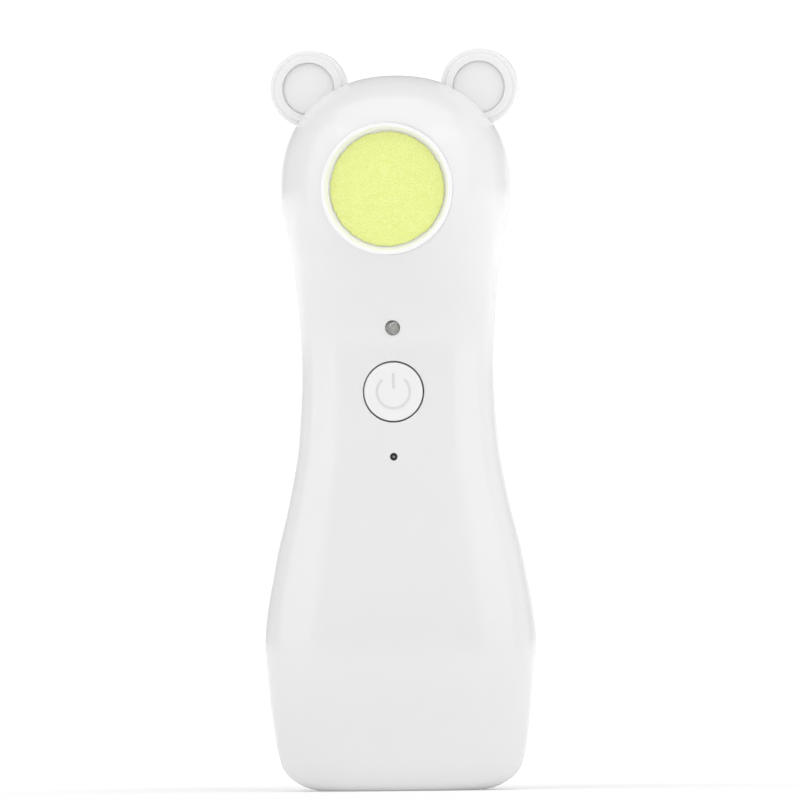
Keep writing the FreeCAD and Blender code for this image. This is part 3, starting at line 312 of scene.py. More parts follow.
MATERIALS = {
    "white_shell": moulded("shell_white", WHITE, 0.15, bump=0.015, spread=0.006, skin=0.05),
    "white_trim": moulded("ear_white", (0.83, 0.83, 0.832), 0.16, bump=0.01, spread=0.006, skin=0.05),
    "ear_inlay": moulded("inlay_white", (0.83, 0.83, 0.83), 0.5, grain=1800.0, bump=0.08, spread=0.008),
    "bezel_white": moulded("bezel_white", (0.9, 0.9, 0.902), 0.2, bump=0.008, spread=0.005, coat=0.2),
    "button_white": moulded("button_white", (0.84, 0.84, 0.84), 0.34, bump=0.03, spread=0.008),
    "mark_grey": moulded("print_grey", (0.68, 0.68, 0.69), 0.5, bump=0.05, spread=0.02),
    "felt": felt(),
    "bronze": metal("sintered_bronze", (0.55, 0.38, 0.2), 0.45, (1, 1, 1), 0.3),
    "nylon": moulded("nylon_frame", (0.62, 0.62, 0.6), 0.5, bump=0.1, spread=0.03),
    "gear_nylon": moulded("nylon_gear", (0.75, 0.73, 0.64), 0.4, bump=0.05, spread=0.03),
    "screw_steel": metal("zinc_steel", (0.62, 0.62, 0.64), 0.28, (6, 6, 1)),
    "motor_steel": metal("drawn_steel", (0.6, 0.6, 0.62), 0.32, (1, 20, 1)),
    "shaft_steel": metal("ground_steel", (0.72, 0.72, 0.74), 0.15, (1, 20, 1)),
    "port_steel": metal("port_steel", (0.66, 0.66, 0.68), 0.25, (1, 1, 20)),
    "ferrite": moulded("ferrite", (0.05, 0.05, 0.055), 0.6, grain=1500.0, bump=0.3, spread=0.2),
    "carbon": moulded("carbon", (0.03, 0.03, 0.03), 0.7, grain=3000.0, bump=0.4, spread=0.3),
    "brass": metal("machined_brass", (0.78, 0.6, 0.28), 0.25, (1, 20, 1)),
    "copper": metal("enamelled_copper", (0.7, 0.32, 0.16), 0.3, (1, 40, 1), 0.2),
    "circuit_board": circuit(),
    "dark_plastic": moulded("dark_plastic", (0.018, 0.018, 0.02), 0.42, bump=0.1, spread=0.2),
    # near-black sleeve: its colour also paints the shade inside the indicator hole
    "sleeve_black": moulded("sleeve_black", (0.006, 0.006, 0.006), 0.5, bump=0.1, spread=0.2),
    "clear_lens": clear_lens(),
    "lamp_chip": moulded("phosphor", (0.5, 0.47, 0.38), 0.6, grain=4000.0, bump=0.3, spread=0.08),
    "battery_wrap": metal("pouch_foil", (0.68, 0.69, 0.71), 0.4, (1, 1, 3), 0.25),
    "foam": moulded("foam", (0.03, 0.03, 0.03), 0.9, grain=2200.0, bump=0.8, spread=0.3),
    "wire_red": moulded("wire_red", (0.45, 0.02, 0.015), 0.4, bump=0.05, spread=0.08),
    "abrasive": grit(),
    "pad_rubber": moulded("pad_rubber", (0.05, 0.05, 0.05), 0.7, grain=1800.0, bump=0.4, spread=0.2),
}

slot_of = {row["node"]: row["material_slot"] for row in frame["record"]["subparts"]}
for node_name, node_object in frame["nodes"].items():
    node_object.data.materials.clear()
    node_object.data.materials.append(MATERIALS[slot_of[node_name]])


# ---------------------------------------------------------------- housing surface

# Sections from the base up: height, half width, depth in front of and behind the seam plane. A value
# that a section leaves out comes from the smooth curve through its neighbours.
STATIONS = (
    (0.0, 23.2, 10.5, 12.5),
    (10.0, 25.9, None, None),
    (29.6, 27.9, 13.0, 15.0),
    (47.0, 25.45, None, None),
    (59.0, 22.6, 10.6, 13.4),
    (71.5, 20.45, None, None),
    (86.0, 19.65, None, None),
    (91.0, None, 9.0, 12.0),
    (106.0, 20.95, None, None),
    (114.0, 22.4, None, None),
    (SPINDLE_Z, 23.6, 20.5, 15.5),
)
HALF, FRONT, BACK = 1, 2, 3
CORNER_SIDE, CORNER_DEPTH, CORNER_HEIGHT = 7.5, 3.5, 5.5
CROWN_RISE = 23.4
SQUARE_BASE, SQUARE_HEAD = 2.5, 2.2
WALL = 2.0


def monotone(column):
    """Heights, values and tangents of one column of the sections."""
    heights = [row[0] for row in STATIONS if row[column] is not None]
    values = [row[column] for row in STATIONS if row[column] is not None]
    steps = [b - a for a, b in zip(heights, heights[1:])]
    slopes = [(b - a) / step for a, b, step in zip(values, values[1:], steps)]
    tangents = [slopes[0]]
    for i in range(1, len(slopes)):
        before, after = slopes[i - 1], slopes[i]
        if before * after > 0:
            near = 2 * steps[i] + steps[i - 1]
            far = steps[i] + 2 * steps[i - 1]
            tangents.append((near + far) / (near / before + far / after))
        else:
            tangents.append(0.0)
    tangents.append(0.0)
    return heights, values, tangents


CURVES = {column: monotone(column) for column in (HALF, FRONT, BACK)}


def smooth(column, height):
    """The half width or depth at a height below the head's middle."""
    heights, values, tangents = CURVES[column]
    i = max(k for k in range(len(heights) - 1) if height >= heights[k] - 1e-9)
    step = heights[i + 1] - heights[i]
    t = min((height - heights[i]) / step, 1.0)
    level = values[i] * (1 - 3 * t * t + 2 * t ** 3) + values[i + 1] * (3 * t * t - 2 * t ** 3)
    bend = tangents[i] * (t - 2 * t * t + t ** 3) + tangents[i + 1] * (t ** 3 - t * t)
    return level + step * bend


def sizes_at(height, side, inset):
    """Half width, depth and squareness of the section at a height."""
    if height > SPINDLE_Z:
        rise = min((height - SPINDLE_Z) / (CROWN_RISE - inset), 1.0)
        scale = (1 - rise ** SQUARE_HEAD) ** (1 / SQUARE_HEAD)
        head = CURVES[HALF][1][-1], CURVES[side][1][-1]
        return (head[0] - inset) * scale, (head[1] - inset) * scale, SQUARE_HEAD
    square = SQUARE_BASE - (SQUARE_BASE - SQUARE_HEAD) * (height / SPINDLE_Z) ** 2
    rise = CORNER_HEIGHT - inset
    pull = 0.0
    if height < inset + rise:
        cosine = 1 - max(height - inset, 0.0) / rise
        pull = 1 - math.sqrt(1 - cosine * cosine)
    half = smooth(HALF, height) - inset - (CORNER_SIDE - inset) * pull
    depth = smooth(side, height) - inset - (CORNER_DEPTH - inset) * pull
    return half, depth, square


def depth_at(x, z, side, inset):
    """How far the surface is from the seam plane at a place in the front or back view."""
    half, depth, square = sizes_at(z, side, inset)
    return depth * max(1 - min(abs(x) / half, 1.0) ** square, 0.0) ** (1 / square)


COLUMNS = 72
BASE_ROWS = 10
CORNER_ROWS = 8
SIDE_ROWS = 112
CROWN_ROWS = 26
SEAM_GAP = 0.08                # half the gap between the two halves
EDGE = 0.22                    # rounding of the moulded edges
EDGE_STEPS = 3
INNER_SHARES = (1.0, 0.8, 0.5)           # rings of the inner skin round a hole, as shares of the way to it


def shell_rows(inset):
    """(height, scale) of each row of the grid, from the middle of the base to the crown."""
    rise = CORNER_HEIGHT - inset
    rows = [(inset, k / BASE_ROWS) for k in range(BASE_ROWS)]
    for k in range(CORNER_ROWS):
        angle = math.pi / 2 * k / CORNER_ROWS
        rows.append((inset + rise * (1 - math.cos(angle)), 1.0))
    start = inset + rise
    for k in range(SIDE_ROWS):
        rows.append((start + (SPINDLE_Z - start) * k / SIDE_ROWS, 1.0))
    for k in range(CROWN_ROWS):
        angle = math.pi / 2 * k / CROWN_ROWS
        rows.append((SPINDLE_Z + (CROWN_RISE - inset) * math.sin(angle) ** (2 / SQUARE_HEAD), 1.0))
    rows.append((SPINDLE_Z + CROWN_RISE - inset, 0.0))
    return rows


class Hole:
    """An opening through one housing half.

    outline(angle) is its radius; path lists (radius, depth) rings between the outer and the inner
    surface, and inner is the radius where the path meets the inner surface. across and up are the
    reach of the grid patch that is remade round it, in a number of rings. edge is the rounding of
    its rim.
    """

    def __init__(self, x, z, outline, across, up, rings, path=(), inner=None, base=False, edge=EDGE):
        self.x, self.z, self.across, self.up, self.rings, self.edge = x, z, across, up, rings, edge
        self.outline, self.path, self.base = outline, path, base
        self.inner = inner or outline


def round_hole(radius):
    """The outline of a round hole."""
    return lambda angle: radius


def slot_hole(reach, end):
    """The outline of a slot with round ends, about its middle."""
    def outline(angle):
        c, s = abs(math.cos(angle)), abs(math.sin(angle))
        if s * reach > c * end or c < TINY:
            flat = end / max(s, TINY)
            if flat * c <= reach:
                return flat
        root = math.sqrt(max(end * end - (reach * s) ** 2, 0.0))
        return reach * c + root
    return outline


def housing_half(name, side, holes, replaced):
    """One closed half of the housing: outer skin, inner skin, seam land and the walls of its holes."""
    sign = -1 if side == FRONT else 1
    verts, faces = [], []
    skipped = set()

    def add(point):
        """Adds a vertex and returns its number."""
        verts.append(point)
        return len(verts) - 1

    def surface(x, z, inset, lift=0.0):
        """A point of the skin seen at (x, z), lifted towards the seam plane."""
        return (x, SEAM + sign * (depth_at(x, z, side, inset) - lift), z)

    def grid(inset, floor):
        """The vertices of a skin, row by row, no nearer to the seam plane than floor."""
        made = []
        for height, scale in shell_rows(inset):
            half, depth, square = sizes_at(height, side, inset)
            if scale == 0.0:
                made.append([add((0.0, SEAM + sign * floor, height))] * (COLUMNS + 1))
                continue
            row = []
            for i in range(COLUMNS + 1):
                angle = math.pi * i / COLUMNS
                c, s = math.cos(angle), math.sin(angle)
                arm = ((abs(c) / half) ** square + (abs(s) / depth) ** square) ** (-1 / square) * scale
                row.append(add((arm * c, SEAM + sign * max(arm * s, floor), height)))
            made.append(row)
        return made

    def skin_faces(table):
        """The faces of a skin, without the patches round its holes."""
        for j in range(len(table) - 1):
            for i in range(COLUMNS):
                if (j, i) not in skipped:
                    corners = [table[j][i], table[j][i + 1], table[j + 1][i + 1], table[j + 1][i]]
                    faces.append(list(dict.fromkeys(corners)))

    def patch_round(hole, table):
        """The rows and columns of the grid that bound the patch round a hole."""
        if hole.base:
            near = [(j, i) for j in range(1, BASE_ROWS) for i in range(COLUMNS + 1)
                    if abs(verts[table[j][i]][0] - hole.x) < hole.across
                    and abs(sign * (verts[table[j][i]][1] - SEAM) - hole.z) < hole.up]
            rows, columns = [j for j, i in near], [i for j, i in near]
            return min(rows), max(rows), min(columns), max(columns)
        away = {j: abs(verts[table[j][0]][2] - hole.z) for j in range(BASE_ROWS, len(table) - 2)}
        rows = [j for j in away if away[j] < hole.up]
        middle = min(rows, key=away.get)
        columns = [i for i in range(COLUMNS + 1)
                   if abs(verts[table[middle][i]][0] - hole.x) < hole.across]
        return min(rows), max(rows), min(columns), max(columns)

    def loop_round(table, j0, j1, i0, i1):
        """The grid corners round a patch, in order."""
        loop = [table[j0][i] for i in range(i0, i1)]
        loop += [table[j][i1] for j in range(j0, j1)]
        loop += [table[j1][i] for i in range(i1, i0, -1)]
        return loop + [table[j][i0] for j in range(j1, j0, -1)]

    def bridge(rings):
        """The faces between each ring of vertices and the next."""
        for one, two in zip(rings, rings[1:]):
            for k in range(len(one)):
                m = (k + 1) % len(one)
                faces.append([one[k], one[m], two[m], two[k]])

    def cut(hole):
        """Remakes the patch round a hole, with its rounded rim, its walls and the inner skin round it."""
        j0, j1, i0, i1 = patch_round(hole, outer)
        skipped.update((j, i) for j in range(j0, j1) for i in range(i0, i1))
        loop, inner_loop = loop_round(outer, j0, j1, i0, i1), loop_round(inner, j0, j1, i0, i1)

        def flat(vertex):
            """A vertex in the hole's own plane, from its middle."""
            x, y, z = verts[vertex]
            return Vector((x - hole.x, (sign * (y - SEAM) if hole.base else z) - hole.z))

        def lifted(place, inset, lift):
            """A place in the hole's plane, put back on the skin."""
            x, up = hole.x + place.x, hole.z + place.y
            if hole.base:
                return (x, SEAM + sign * up, inset + lift)
            return surface(x, up, inset, lift)

        starts, ends = [flat(v) for v in loop], [flat(v) for v in inner_loop]
        angles = [math.atan2(p.y, p.x) for p in starts]
        arms = [Vector((math.cos(a), math.sin(a))) for a in angles]
        rims = [arm * (hole.outline(a) + hole.edge) for a, arm in zip(angles, arms)]
        rings = [loop]
        for k in range(1, hole.rings + 1):
            rings.append([add(lifted(p.lerp(q, k / hole.rings), 0.0, 0.0)) for p, q in zip(starts, rims)])
        for k in range(1, EDGE_STEPS + 1):
            turn = math.pi / 2 * k / EDGE_STEPS
            out, sink = hole.edge * (1 - math.sin(turn)), hole.edge * (1 - math.cos(turn))
            rings.append([add(lifted(arm * (hole.outline(a) + out), 0.0, sink))
                          for a, arm in zip(angles, arms)])
        for radius, depth in hole.path:
            rings.append([add((hole.x + radius * math.cos(a), SEAM + depth, hole.z + radius * math.sin(a)))
                          for a in angles])
        rims = [arm * hole.inner(a) for a, arm in zip(angles, arms)]
        for share in INNER_SHARES:
            rings.append([add(lifted(p.lerp(q, share), WALL, 0.0)) for p, q in zip(ends, rims)])
        rings.append(inner_loop)
        bridge(rings)

    def seam_loop(table):
        """The vertices of a skin along the seam, in order."""
        return [row[0] for row in table] + [row[COLUMNS] for row in table[-2:0:-1]]

    def seam_land():
        """The rounded outer edge along the seam and the flat land inside it."""
        edge_loop = seam_loop(outer)
        outward = []
        for k in range(len(edge_loop)):
            ahead, behind = edge_loop[(k + 1) % len(edge_loop)], edge_loop[k - 1]
            along = Vector(verts[ahead]) - Vector(verts[behind])
            outward.append(Vector((along.z, 0, -along.x)).normalized())
        rings = [edge_loop]
        for k in range(1, EDGE_STEPS + 1):
            turn = math.pi / 2 * k / EDGE_STEPS
            ring = []
            for vertex, away in zip(edge_loop, outward):
                point = Vector(verts[vertex]) - away * EDGE * (1 - math.cos(turn))
                point.y = SEAM + sign * (SEAM_GAP + EDGE * (1 - math.sin(turn)))
                ring.append(add(tuple(point)))
            rings.append(ring)
        bridge(rings + [seam_loop(inner)])

    outer = grid(0.0, SEAM_GAP + EDGE)
    inner = grid(WALL, SEAM_GAP)
    for hole in holes:
        cut(hole)
    skin_faces(outer)
    skin_faces(inner)
    seam_land()
    return add_mesh(name, verts, faces, "housing", MATERIALS["white_shell"], replaced)


# The cup's collar in the front half, the lamp, the button and the charging indicator.
CUP_RADIUS, CUP_GAP = 13.5, 0.02
COLLAR_RADIUS, COLLAR_BACK = 15.4, -13.0
BUTTON_RADIUS, BUTTON_GAP = 6.0, 0.3
LAMP_RADIUS, LAMP_GAP = 1.5, 0.03
SIGNAL_RADIUS = 0.8
SCREWS = ((18.5, 15.0, 6.0), (14.0, 97.0, 5.0))       # side, height, seat
WELL_RADIUS, WELL_BORE, WELL_TUBE = 2.3, 1.3, 3.2
PORT_REACH, PORT_END = 2.85, 1.8         # the charging slot's straight half and the radius of its ends


def front_shell():
    """The front half, with the bezel cup's opening, the lamp, button and indicator holes."""
    cup_hole = CUP_RADIUS + CUP_GAP
    holes = [
        Hole(0, SPINDLE_Z, round_hole(cup_hole), 17.0, 16.2, 10,
             [(cup_hole, COLLAR_BACK), (COLLAR_RADIUS, COLLAR_BACK)], round_hole(COLLAR_RADIUS),
             edge=0.05),
        Hole(0, LAMP_Z, round_hole(LAMP_RADIUS + LAMP_GAP), 3.0, 3.2, 4, edge=0.08),
        Hole(0, BUTTON_Z, round_hole(BUTTON_RADIUS + BUTTON_GAP), 8.6, 8.6, 6),
        Hole(0, SIGNAL_Z, round_hole(SIGNAL_RADIUS), 2.2, 2.4, 5, edge=0.08),
    ]
    return housing_half("front_housing", FRONT, holes, ["front_shell"])


def rear_shell():
    """The rear half, with four screw wells and the charging port's slot in its base."""
    holes = []
    for side, height, seat in SCREWS:
        path = [(WELL_RADIUS, seat), (WELL_BORE, seat), (WELL_BORE, SEAM_GAP), (WELL_TUBE, SEAM_GAP)]
        for sign in (-1, 1):
            holes.append(Hole(sign * side, height, round_hole(WELL_RADIUS), 4.6, 4.6, 6, path,
                              round_hole(WELL_TUBE)))
    holes.append(Hole(0, PORT.y - SEAM, slot_hole(PORT_REACH, PORT_END), 6.0, 2.6, 5, base=True))
    return housing_half("rear_housing", BACK, holes, ["rear_shell"])


front_shell()
rear_shell()


# ---------------------------------------------------------------- ears

EAR_RADIUS, EAR_RING, EAR_BORE = 7.9, 6.8, 5.4
EAR_X = 17.55
EAR_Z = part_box("left_ear")[1][2] / MM - EAR_RADIUS
EAR_FRONT, EAR_BACK, EAR_STEP = -2.2, 3.0, 0.5
EAR_FLOOR, INLAY_THICK = 0.6, 0.55       # the ear's floor and the inlay's back, behind the inlay's face
INLAY_FIT, INLAY_HOLLOW = 0.02, 0.05     # past the bore, and the hollow in the middle of its face


def ears():
    """Two round ears, each with a raised ring round a recessed satin inlay."""
    dish = EAR_FRONT + EAR_STEP
    rim = EAR_FRONT - EAR_STEP
    puck = rounded([(0, dish + EAR_FLOOR), (EAR_BORE, dish + EAR_FLOOR), (EAR_BORE, rim, 0.22),
                    (EAR_RING, rim, 0.3), (EAR_RING, EAR_FRONT, 0.12), (EAR_RADIUS, EAR_FRONT, 0.45),
                    (EAR_RADIUS, EAR_BACK, 0.9), (0, EAR_BACK)])
    bore = EAR_BORE + INLAY_FIT
    inlay = rounded([(0, dish + INLAY_HOLLOW), (EAR_BORE - 0.6, dish, 0.4), (bore, dish + 0.02),
                     (bore, dish + INLAY_THICK), (0, dish + INLAY_THICK)])
    for side, sign in (("left", -1), ("right", 1)):
        verts, faces = lathe(puck, sign * EAR_X, EAR_Z, 128)
        add_mesh(f"{side}_ear_puck", verts, faces, "housing", MATERIALS["white_trim"],
                 [f"{side}_ear"])
        verts, faces = lathe(inlay, sign * EAR_X, EAR_Z, 128)
        add_mesh(f"{side}_ear_disc", verts, faces, "housing", MATERIALS["ear_inlay"],
                 [f"{side}_ear_inlay"])


ears()


# ---------------------------------------------------------------- bezel cup and abrasive disc

HUB_HOLE = 2.8
CUP_FLOOR, LEDGE_FRONT, LEDGE_BORE = -13.8, -17.05, 11.55
CUP_BORE, RIM_BORE = 11.95, 12.75        # the cup opens out from its ledge to its rim
FLANGE_RADIUS, FLANGE_FRONT = 14.6, -13.0


def bezel_cup():
    """The cup round the disc, with a rounded rim and a ledge just behind the disc's edge."""
    outline = rounded([(HUB_HOLE, CUP_BACK), (HUB_HOLE, CUP_FLOOR, 0.2), (LEDGE_BORE, CUP_FLOOR, 0.4),
                       (LEDGE_BORE, LEDGE_FRONT, 0.08), (CUP_BORE, LEDGE_FRONT, 0.3),
                       (RIM_BORE, RIM_FRONT, 0.4), (CUP_RADIUS, RIM_FRONT, 0.36),
                       (CUP_RADIUS, FLANGE_FRONT, 0.2), (FLANGE_RADIUS, FLANGE_FRONT, 0.2),
                       (FLANGE_RADIUS, CUP_BACK)], 6)
    verts, faces = lathe(outline, 0, SPINDLE_Z, 192, closed=True)
    add_mesh("bezel_ring", verts, faces, "housing", MATERIALS["bezel_white"], ["bezel_cup"])


DISC_RADIUS = (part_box("abrasive_disc")[1][0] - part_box("abrasive_disc")[0][0]) / 2 / MM
GRAIN_LEVEL, GRAIN_HEIGHT = 0.05, 0.045  # the grains' middle level behind the disc's front, and their swing
TRIM, RAGGED = 0.08, 0.07                # the disc's edge stays inside its radius and strays this far
WORN_SHARE, WORN_FALL = 0.985, 0.10      # from this share of its radius the face falls away by this much


def ragged_edge(segments):
    """How far the disc's cut edge strays from round, at each of its segments."""
    random.seed(7)
    stray = [0.0] * segments
    for waves in range(3, 60):
        phase, height = random.uniform(0, 2 * math.pi), random.uniform(0.2, 1.0) * 0.05 / waves ** 0.35
        for i in range(segments):
            stray[i] += height * math.sin(waves * 2 * math.pi * i / segments + phase)
    return stray


def grain_depth(x, z, share):
    """The depth of the rough face at a place and a share of the disc's radius."""
    grain = noise.noise(Vector((x, z, 0)) * 3.1) * 0.5 + noise.noise(Vector((x, z, 5)) * 7.3) * 0.5
    fall = WORN_FALL * max(share - WORN_SHARE, 0) / (1 - WORN_SHARE)
    return DISC_FRONT + GRAIN_LEVEL - GRAIN_HEIGHT * max(min(grain * 2.2, 1.0), -1.0) + fall


def abrasive_disc():
    """The abrasive disc: a paper-backed layer of grains, rough on its face and a little ragged outside."""
    segments, rings = 360, 120
    stray = ragged_edge(segments)
    verts, faces, loops = [(0, SEAM + DISC_FRONT + GRAIN_LEVEL, SPINDLE_Z)], [], []
    for k in range(1, rings + 1):
        share = k / rings
        loops.append(list(range(len(verts), len(verts) + segments)))
        for i in range(segments):
            angle = 2 * math.pi * i / segments
            radius = share * (DISC_RADIUS - TRIM) + share ** 12 * min(stray[i], RAGGED)
            x, z = radius * math.cos(angle), radius * math.sin(angle)
            verts.append((x, SEAM + grain_depth(x, z, share), SPINDLE_Z + z))
    back = list(range(len(verts), len(verts) + segments))
    for vertex in loops[-1]:
        x, y, z = verts[vertex]
        verts.append((x * 0.997, SEAM + DISC_BACK, SPINDLE_Z + (z - SPINDLE_Z) * 0.997))
    loops.append(back)
    for i in range(segments):
        faces.append([0, loops[0][i], loops[0][(i + 1) % segments]])
    for one, two in zip(loops, loops[1:]):
        for i in range(segments):
            j = (i + 1) % segments
            faces.append([one[i], one[j], two[j], two[i]])
    faces.append(back[::-1])
    add_mesh("grinding_disc", verts, faces, "spindle", MATERIALS["abrasive"], ["abrasive_disc"])


bezel_cup()
abrasive_disc()


# ---------------------------------------------------------------- button, lamp and indicator

DISH_RADIUS, DISH_DEPTH = 5.2, 0.65
DISH_EDGE = 0.04               # the dish starts this far behind the button's front
DISH_STEPS = 10
LIP_RADIUS, LIP_FRONT = 7.2, -6.6        # the lip that keeps the button in the shell
SKIRT_BORE, POST_RADIUS, HOLLOW = 4.9, 1.6, -8.0      # the hollow round the post that meets the switch


def dish_depth(radius):
    """The button's dished face: a shallow spherical hollow."""
    share = min(radius / DISH_RADIUS, 1.0)
    return BUTTON_FRONT + DISH_EDGE + (DISH_DEPTH - DISH_EDGE) * (1 - share * share)


def button_cap():
    """The button, dished, with a rounded rim and a retaining lip behind the shell."""
    radii = [k / DISH_STEPS * DISH_RADIUS for k in range(DISH_STEPS + 1)]
    lip_back = BUTTON_BACK + 0.2
    side = rounded([(DISH_RADIUS, dish_depth(DISH_RADIUS)), (BUTTON_RADIUS, BUTTON_FRONT, 0.55),
                    (BUTTON_RADIUS, LIP_FRONT, 0.1), (LIP_RADIUS, LIP_FRONT, 0.1), (LIP_RADIUS, lip_back),
                    (SKIRT_BORE, lip_back), (SKIRT_BORE, HOLLOW, 0.3), (POST_RADIUS, HOLLOW, 0.2),
                    (POST_RADIUS, BUTTON_BACK), (0, BUTTON_BACK)], 5)
    outline = [Vector((radius, dish_depth(radius))) for radius in radii] + side[1:]
    verts, faces = lathe(outline, 0, BUTTON_Z, 128)
    add_mesh("power_button", verts, faces, "button", MATERIALS["button_white"],
             ["button_cap"])


CAP_DEGREES = (25, 50, 70, 86)           # steps round a line's end
LINE_SINK = 0.03               # the line's underside lies this far in the button


def ribbon(path, width, thick):
    """A printed line with round ends that follows the button's dish; path is points (across, up)."""
    last = len(path) - 1
    spots = []
    for k, point in enumerate(path):
        along = (path[min(k + 1, last)] - path[max(k - 1, 0)]).normalized()
        spots.append((point, Vector((-along.y, along.x)), width / 2))
    for way in (-1, 1):
        point, across, half = spots[0] if way < 0 else spots[-1]
        away = Vector((across.y, -across.x)) * way
        cap = [(point + away * half * math.sin(t), across, half * math.cos(t))
               for t in map(math.radians, CAP_DEGREES)]
        spots = cap[::-1] + spots if way < 0 else spots + cap
    verts, faces = [], []
    section = ((-1, 0.0), (-0.85, thick), (0, thick), (0.85, thick), (1, 0.0), (1, -LINE_SINK),
               (-1, -LINE_SINK))
    for point, across, half in spots:
        for side, rise in section:
            place = point + across * half * side
            verts.append((place.x, SEAM + dish_depth(place.length) - rise, BUTTON_Z + place.y))
    count = len(section)
    for k in range(len(spots) - 1):
        for m in range(count):
            n = (m + 1) % count
            faces.append([k * count + m, k * count + n, (k + 1) * count + n, (k + 1) * count + m])
    faces.append(list(range(count)))
    faces.append(list(range((len(spots) - 1) * count, len(spots) * count)))
    return verts, faces


MARK_RADIUS, MARK_STROKE, MARK_RISE = 3.38, 0.58, 0.012
MARK_OPENING = 46              # half the ring's gap, in degrees
BAR_FOOT, BAR_TOP = 0.57, 3.86
RING_STEPS, BAR_STEPS = 72, 16


def power_symbol():
    """The printed power symbol: an open ring with a bar in its gap."""
    ring = []
    for k in range(RING_STEPS + 1):
        angle = math.radians(90 + MARK_OPENING + (360 - 2 * MARK_OPENING) * k / RING_STEPS)
        ring.append(Vector((math.cos(angle), math.sin(angle))) * MARK_RADIUS)
    foot, length = BAR_FOOT + MARK_STROKE / 2, BAR_TOP - BAR_FOOT - MARK_STROKE
    bar = [Vector((0.0, foot + length * k / BAR_STEPS)) for k in range(BAR_STEPS + 1)]
    verts, faces = ribbon(ring, MARK_STROKE, MARK_RISE)
    more, more_faces = ribbon(bar, MARK_STROKE, MARK_RISE)
    start = len(verts)
    verts += more
    faces += [[start + v for v in face] for face in more_faces]
    add_mesh("power_symbol", verts, faces, "button", MATERIALS["mark_grey"], ["power_mark"])


LAMP_DOME, DOME_STEPS = 1.45, 12         # the dome's rise
LAMP_FLANGE, LAMP_FLANGE_FRONT, LAMP_BACK = 1.9, -5.2, -4.2
REFLECTOR_RIM, REFLECTOR_FLOOR, REFLECTOR_BACK = -8.35, -7.6, -7.2
FACETS = 10
CHIP_FRONT, CHIP_EDGE, CHIP_BACK = -7.95, -7.9, -7.62


def work_light():
    """The 3 mm lamp: a clear dome over a faceted reflector with a phosphor chip."""
    shoulder = LAMP_FRONT + LAMP_DOME
    outline = []
    for k in range(DOME_STEPS + 1):
        turn = math.pi / 2 * k / DOME_STEPS
        outline.append(Vector((LAMP_RADIUS * math.sin(turn),
                               shoulder - (shoulder - LAMP_FRONT) * math.cos(turn))))
    outline += rounded([(LAMP_RADIUS, shoulder), (LAMP_RADIUS, LAMP_FLANGE_FRONT, 0.05),
                        (LAMP_FLANGE, LAMP_FLANGE_FRONT, 0.1), (LAMP_FLANGE, LAMP_BACK, 0.1),
                        (0, LAMP_BACK)])[1:]
    verts, faces = lathe(outline, 0, LAMP_Z, 96)
    add_mesh("lamp_lens", verts, faces, "housing", MATERIALS["clear_lens"], ["work_light_led"])
    cup = [(0, REFLECTOR_FLOOR), (0.45, REFLECTOR_FLOOR), (1.15, REFLECTOR_RIM), (1.3, REFLECTOR_RIM),
           (1.3, REFLECTOR_BACK), (0, REFLECTOR_BACK)]
    verts, faces = lathe(cup, 0, LAMP_Z, FACETS)
    add_mesh("lamp_reflector", verts, faces, "housing", MATERIALS["port_steel"], smooth=False)
    chip = [(0, CHIP_FRONT), (0.28, CHIP_EDGE), (0.36, CHIP_BACK), (0, CHIP_BACK)]
    verts, faces = lathe(chip, 0, LAMP_Z, 24)
    add_mesh("lamp_phosphor", verts, faces, "housing", MATERIALS["lamp_chip"])


PIPE_BORE, SLEEVE_RADIUS, SLEEVE_FLANGE = 0.25, 0.72, 1.4
SLEEVE_SEAT, SLEEVE_BACK = -7.7, -7.1


def indicator():
    """The charging indicator: a dark sleeve flush with the shell round a thin light pipe, made near-black so
    it also paints the shade inside the hole.
    """
    sleeve = rounded([(PIPE_BORE, SLEEVE_BACK), (PIPE_BORE, SIGNAL_FRONT + 0.25, 0.05),
                      (SLEEVE_RADIUS, SIGNAL_FRONT + 0.1, 0.08), (SLEEVE_RADIUS, SLEEVE_SEAT),
                      (SLEEVE_FLANGE, SLEEVE_SEAT), (SLEEVE_FLANGE, SLEEVE_BACK)])
    verts, faces = lathe(sleeve, 0, SIGNAL_Z, 64, closed=True)
    add_mesh("signal_sleeve", verts, faces, "housing", MATERIALS["sleeve_black"],
             ["indicator_sleeve"])


button_cap()
power_symbol()
work_light()
indicator()


# ---------------------------------------------------------------- hardware that keeps its CAD shape

for cad_name, width in (("housing_screws", 0.12), ("usb_c_shell", 0.08), ("usb_c_tongue", 0.06)):
    softened = frame["nodes"][cad_name].modifiers.new("soft_edges", "BEVEL")
    softened.width = width * MM
    softened.segments = 3
    softened.limit_method = "ANGLE"
    softened.angle_limit = math.radians(40)


# ---------------------------------------------------------------- stage, light and camera

def direction(azimuth, elevation):
    """The unit vector towards a place round the object; azimuth 0 is in front and 90 at +X."""
    turn, rise = math.radians(azimuth), math.radians(elevation)
    return Vector((math.sin(turn) * math.cos(rise), -math.cos(turn) * math.cos(rise), math.sin(rise)))


# Lengths from here on are metres, and angles are degrees.
MIDDLE = Vector((0, 0, 0.076))
ROOM_LEVEL = 0.43              # brightness of the room
PAPER_LEVEL = 1.06             # and of the white paper behind the object
PAPER_WHITE, PAPER_EDGE = 14, 40         # it fades between these angles from straight behind
PAPER_LOW, PAPER_HIGH = 3, 10            # and between these angles above the floor
FLOOR_GLOW = 0.15              # the floor glows with painted light, from no lamp: a little everywhere,
NEAR_GLOW = (0.09, 0.2, 0.16)  # more from a ring round the object outward, so the weaker glow next to it is painted shade (from, to, level)
BACK_GLOW = (0.0, 0.35, 0.45)  # and more behind it
GLOW_CENTRE = Vector((0, -0.05, 0))
FLOOR_REACH = 6.0


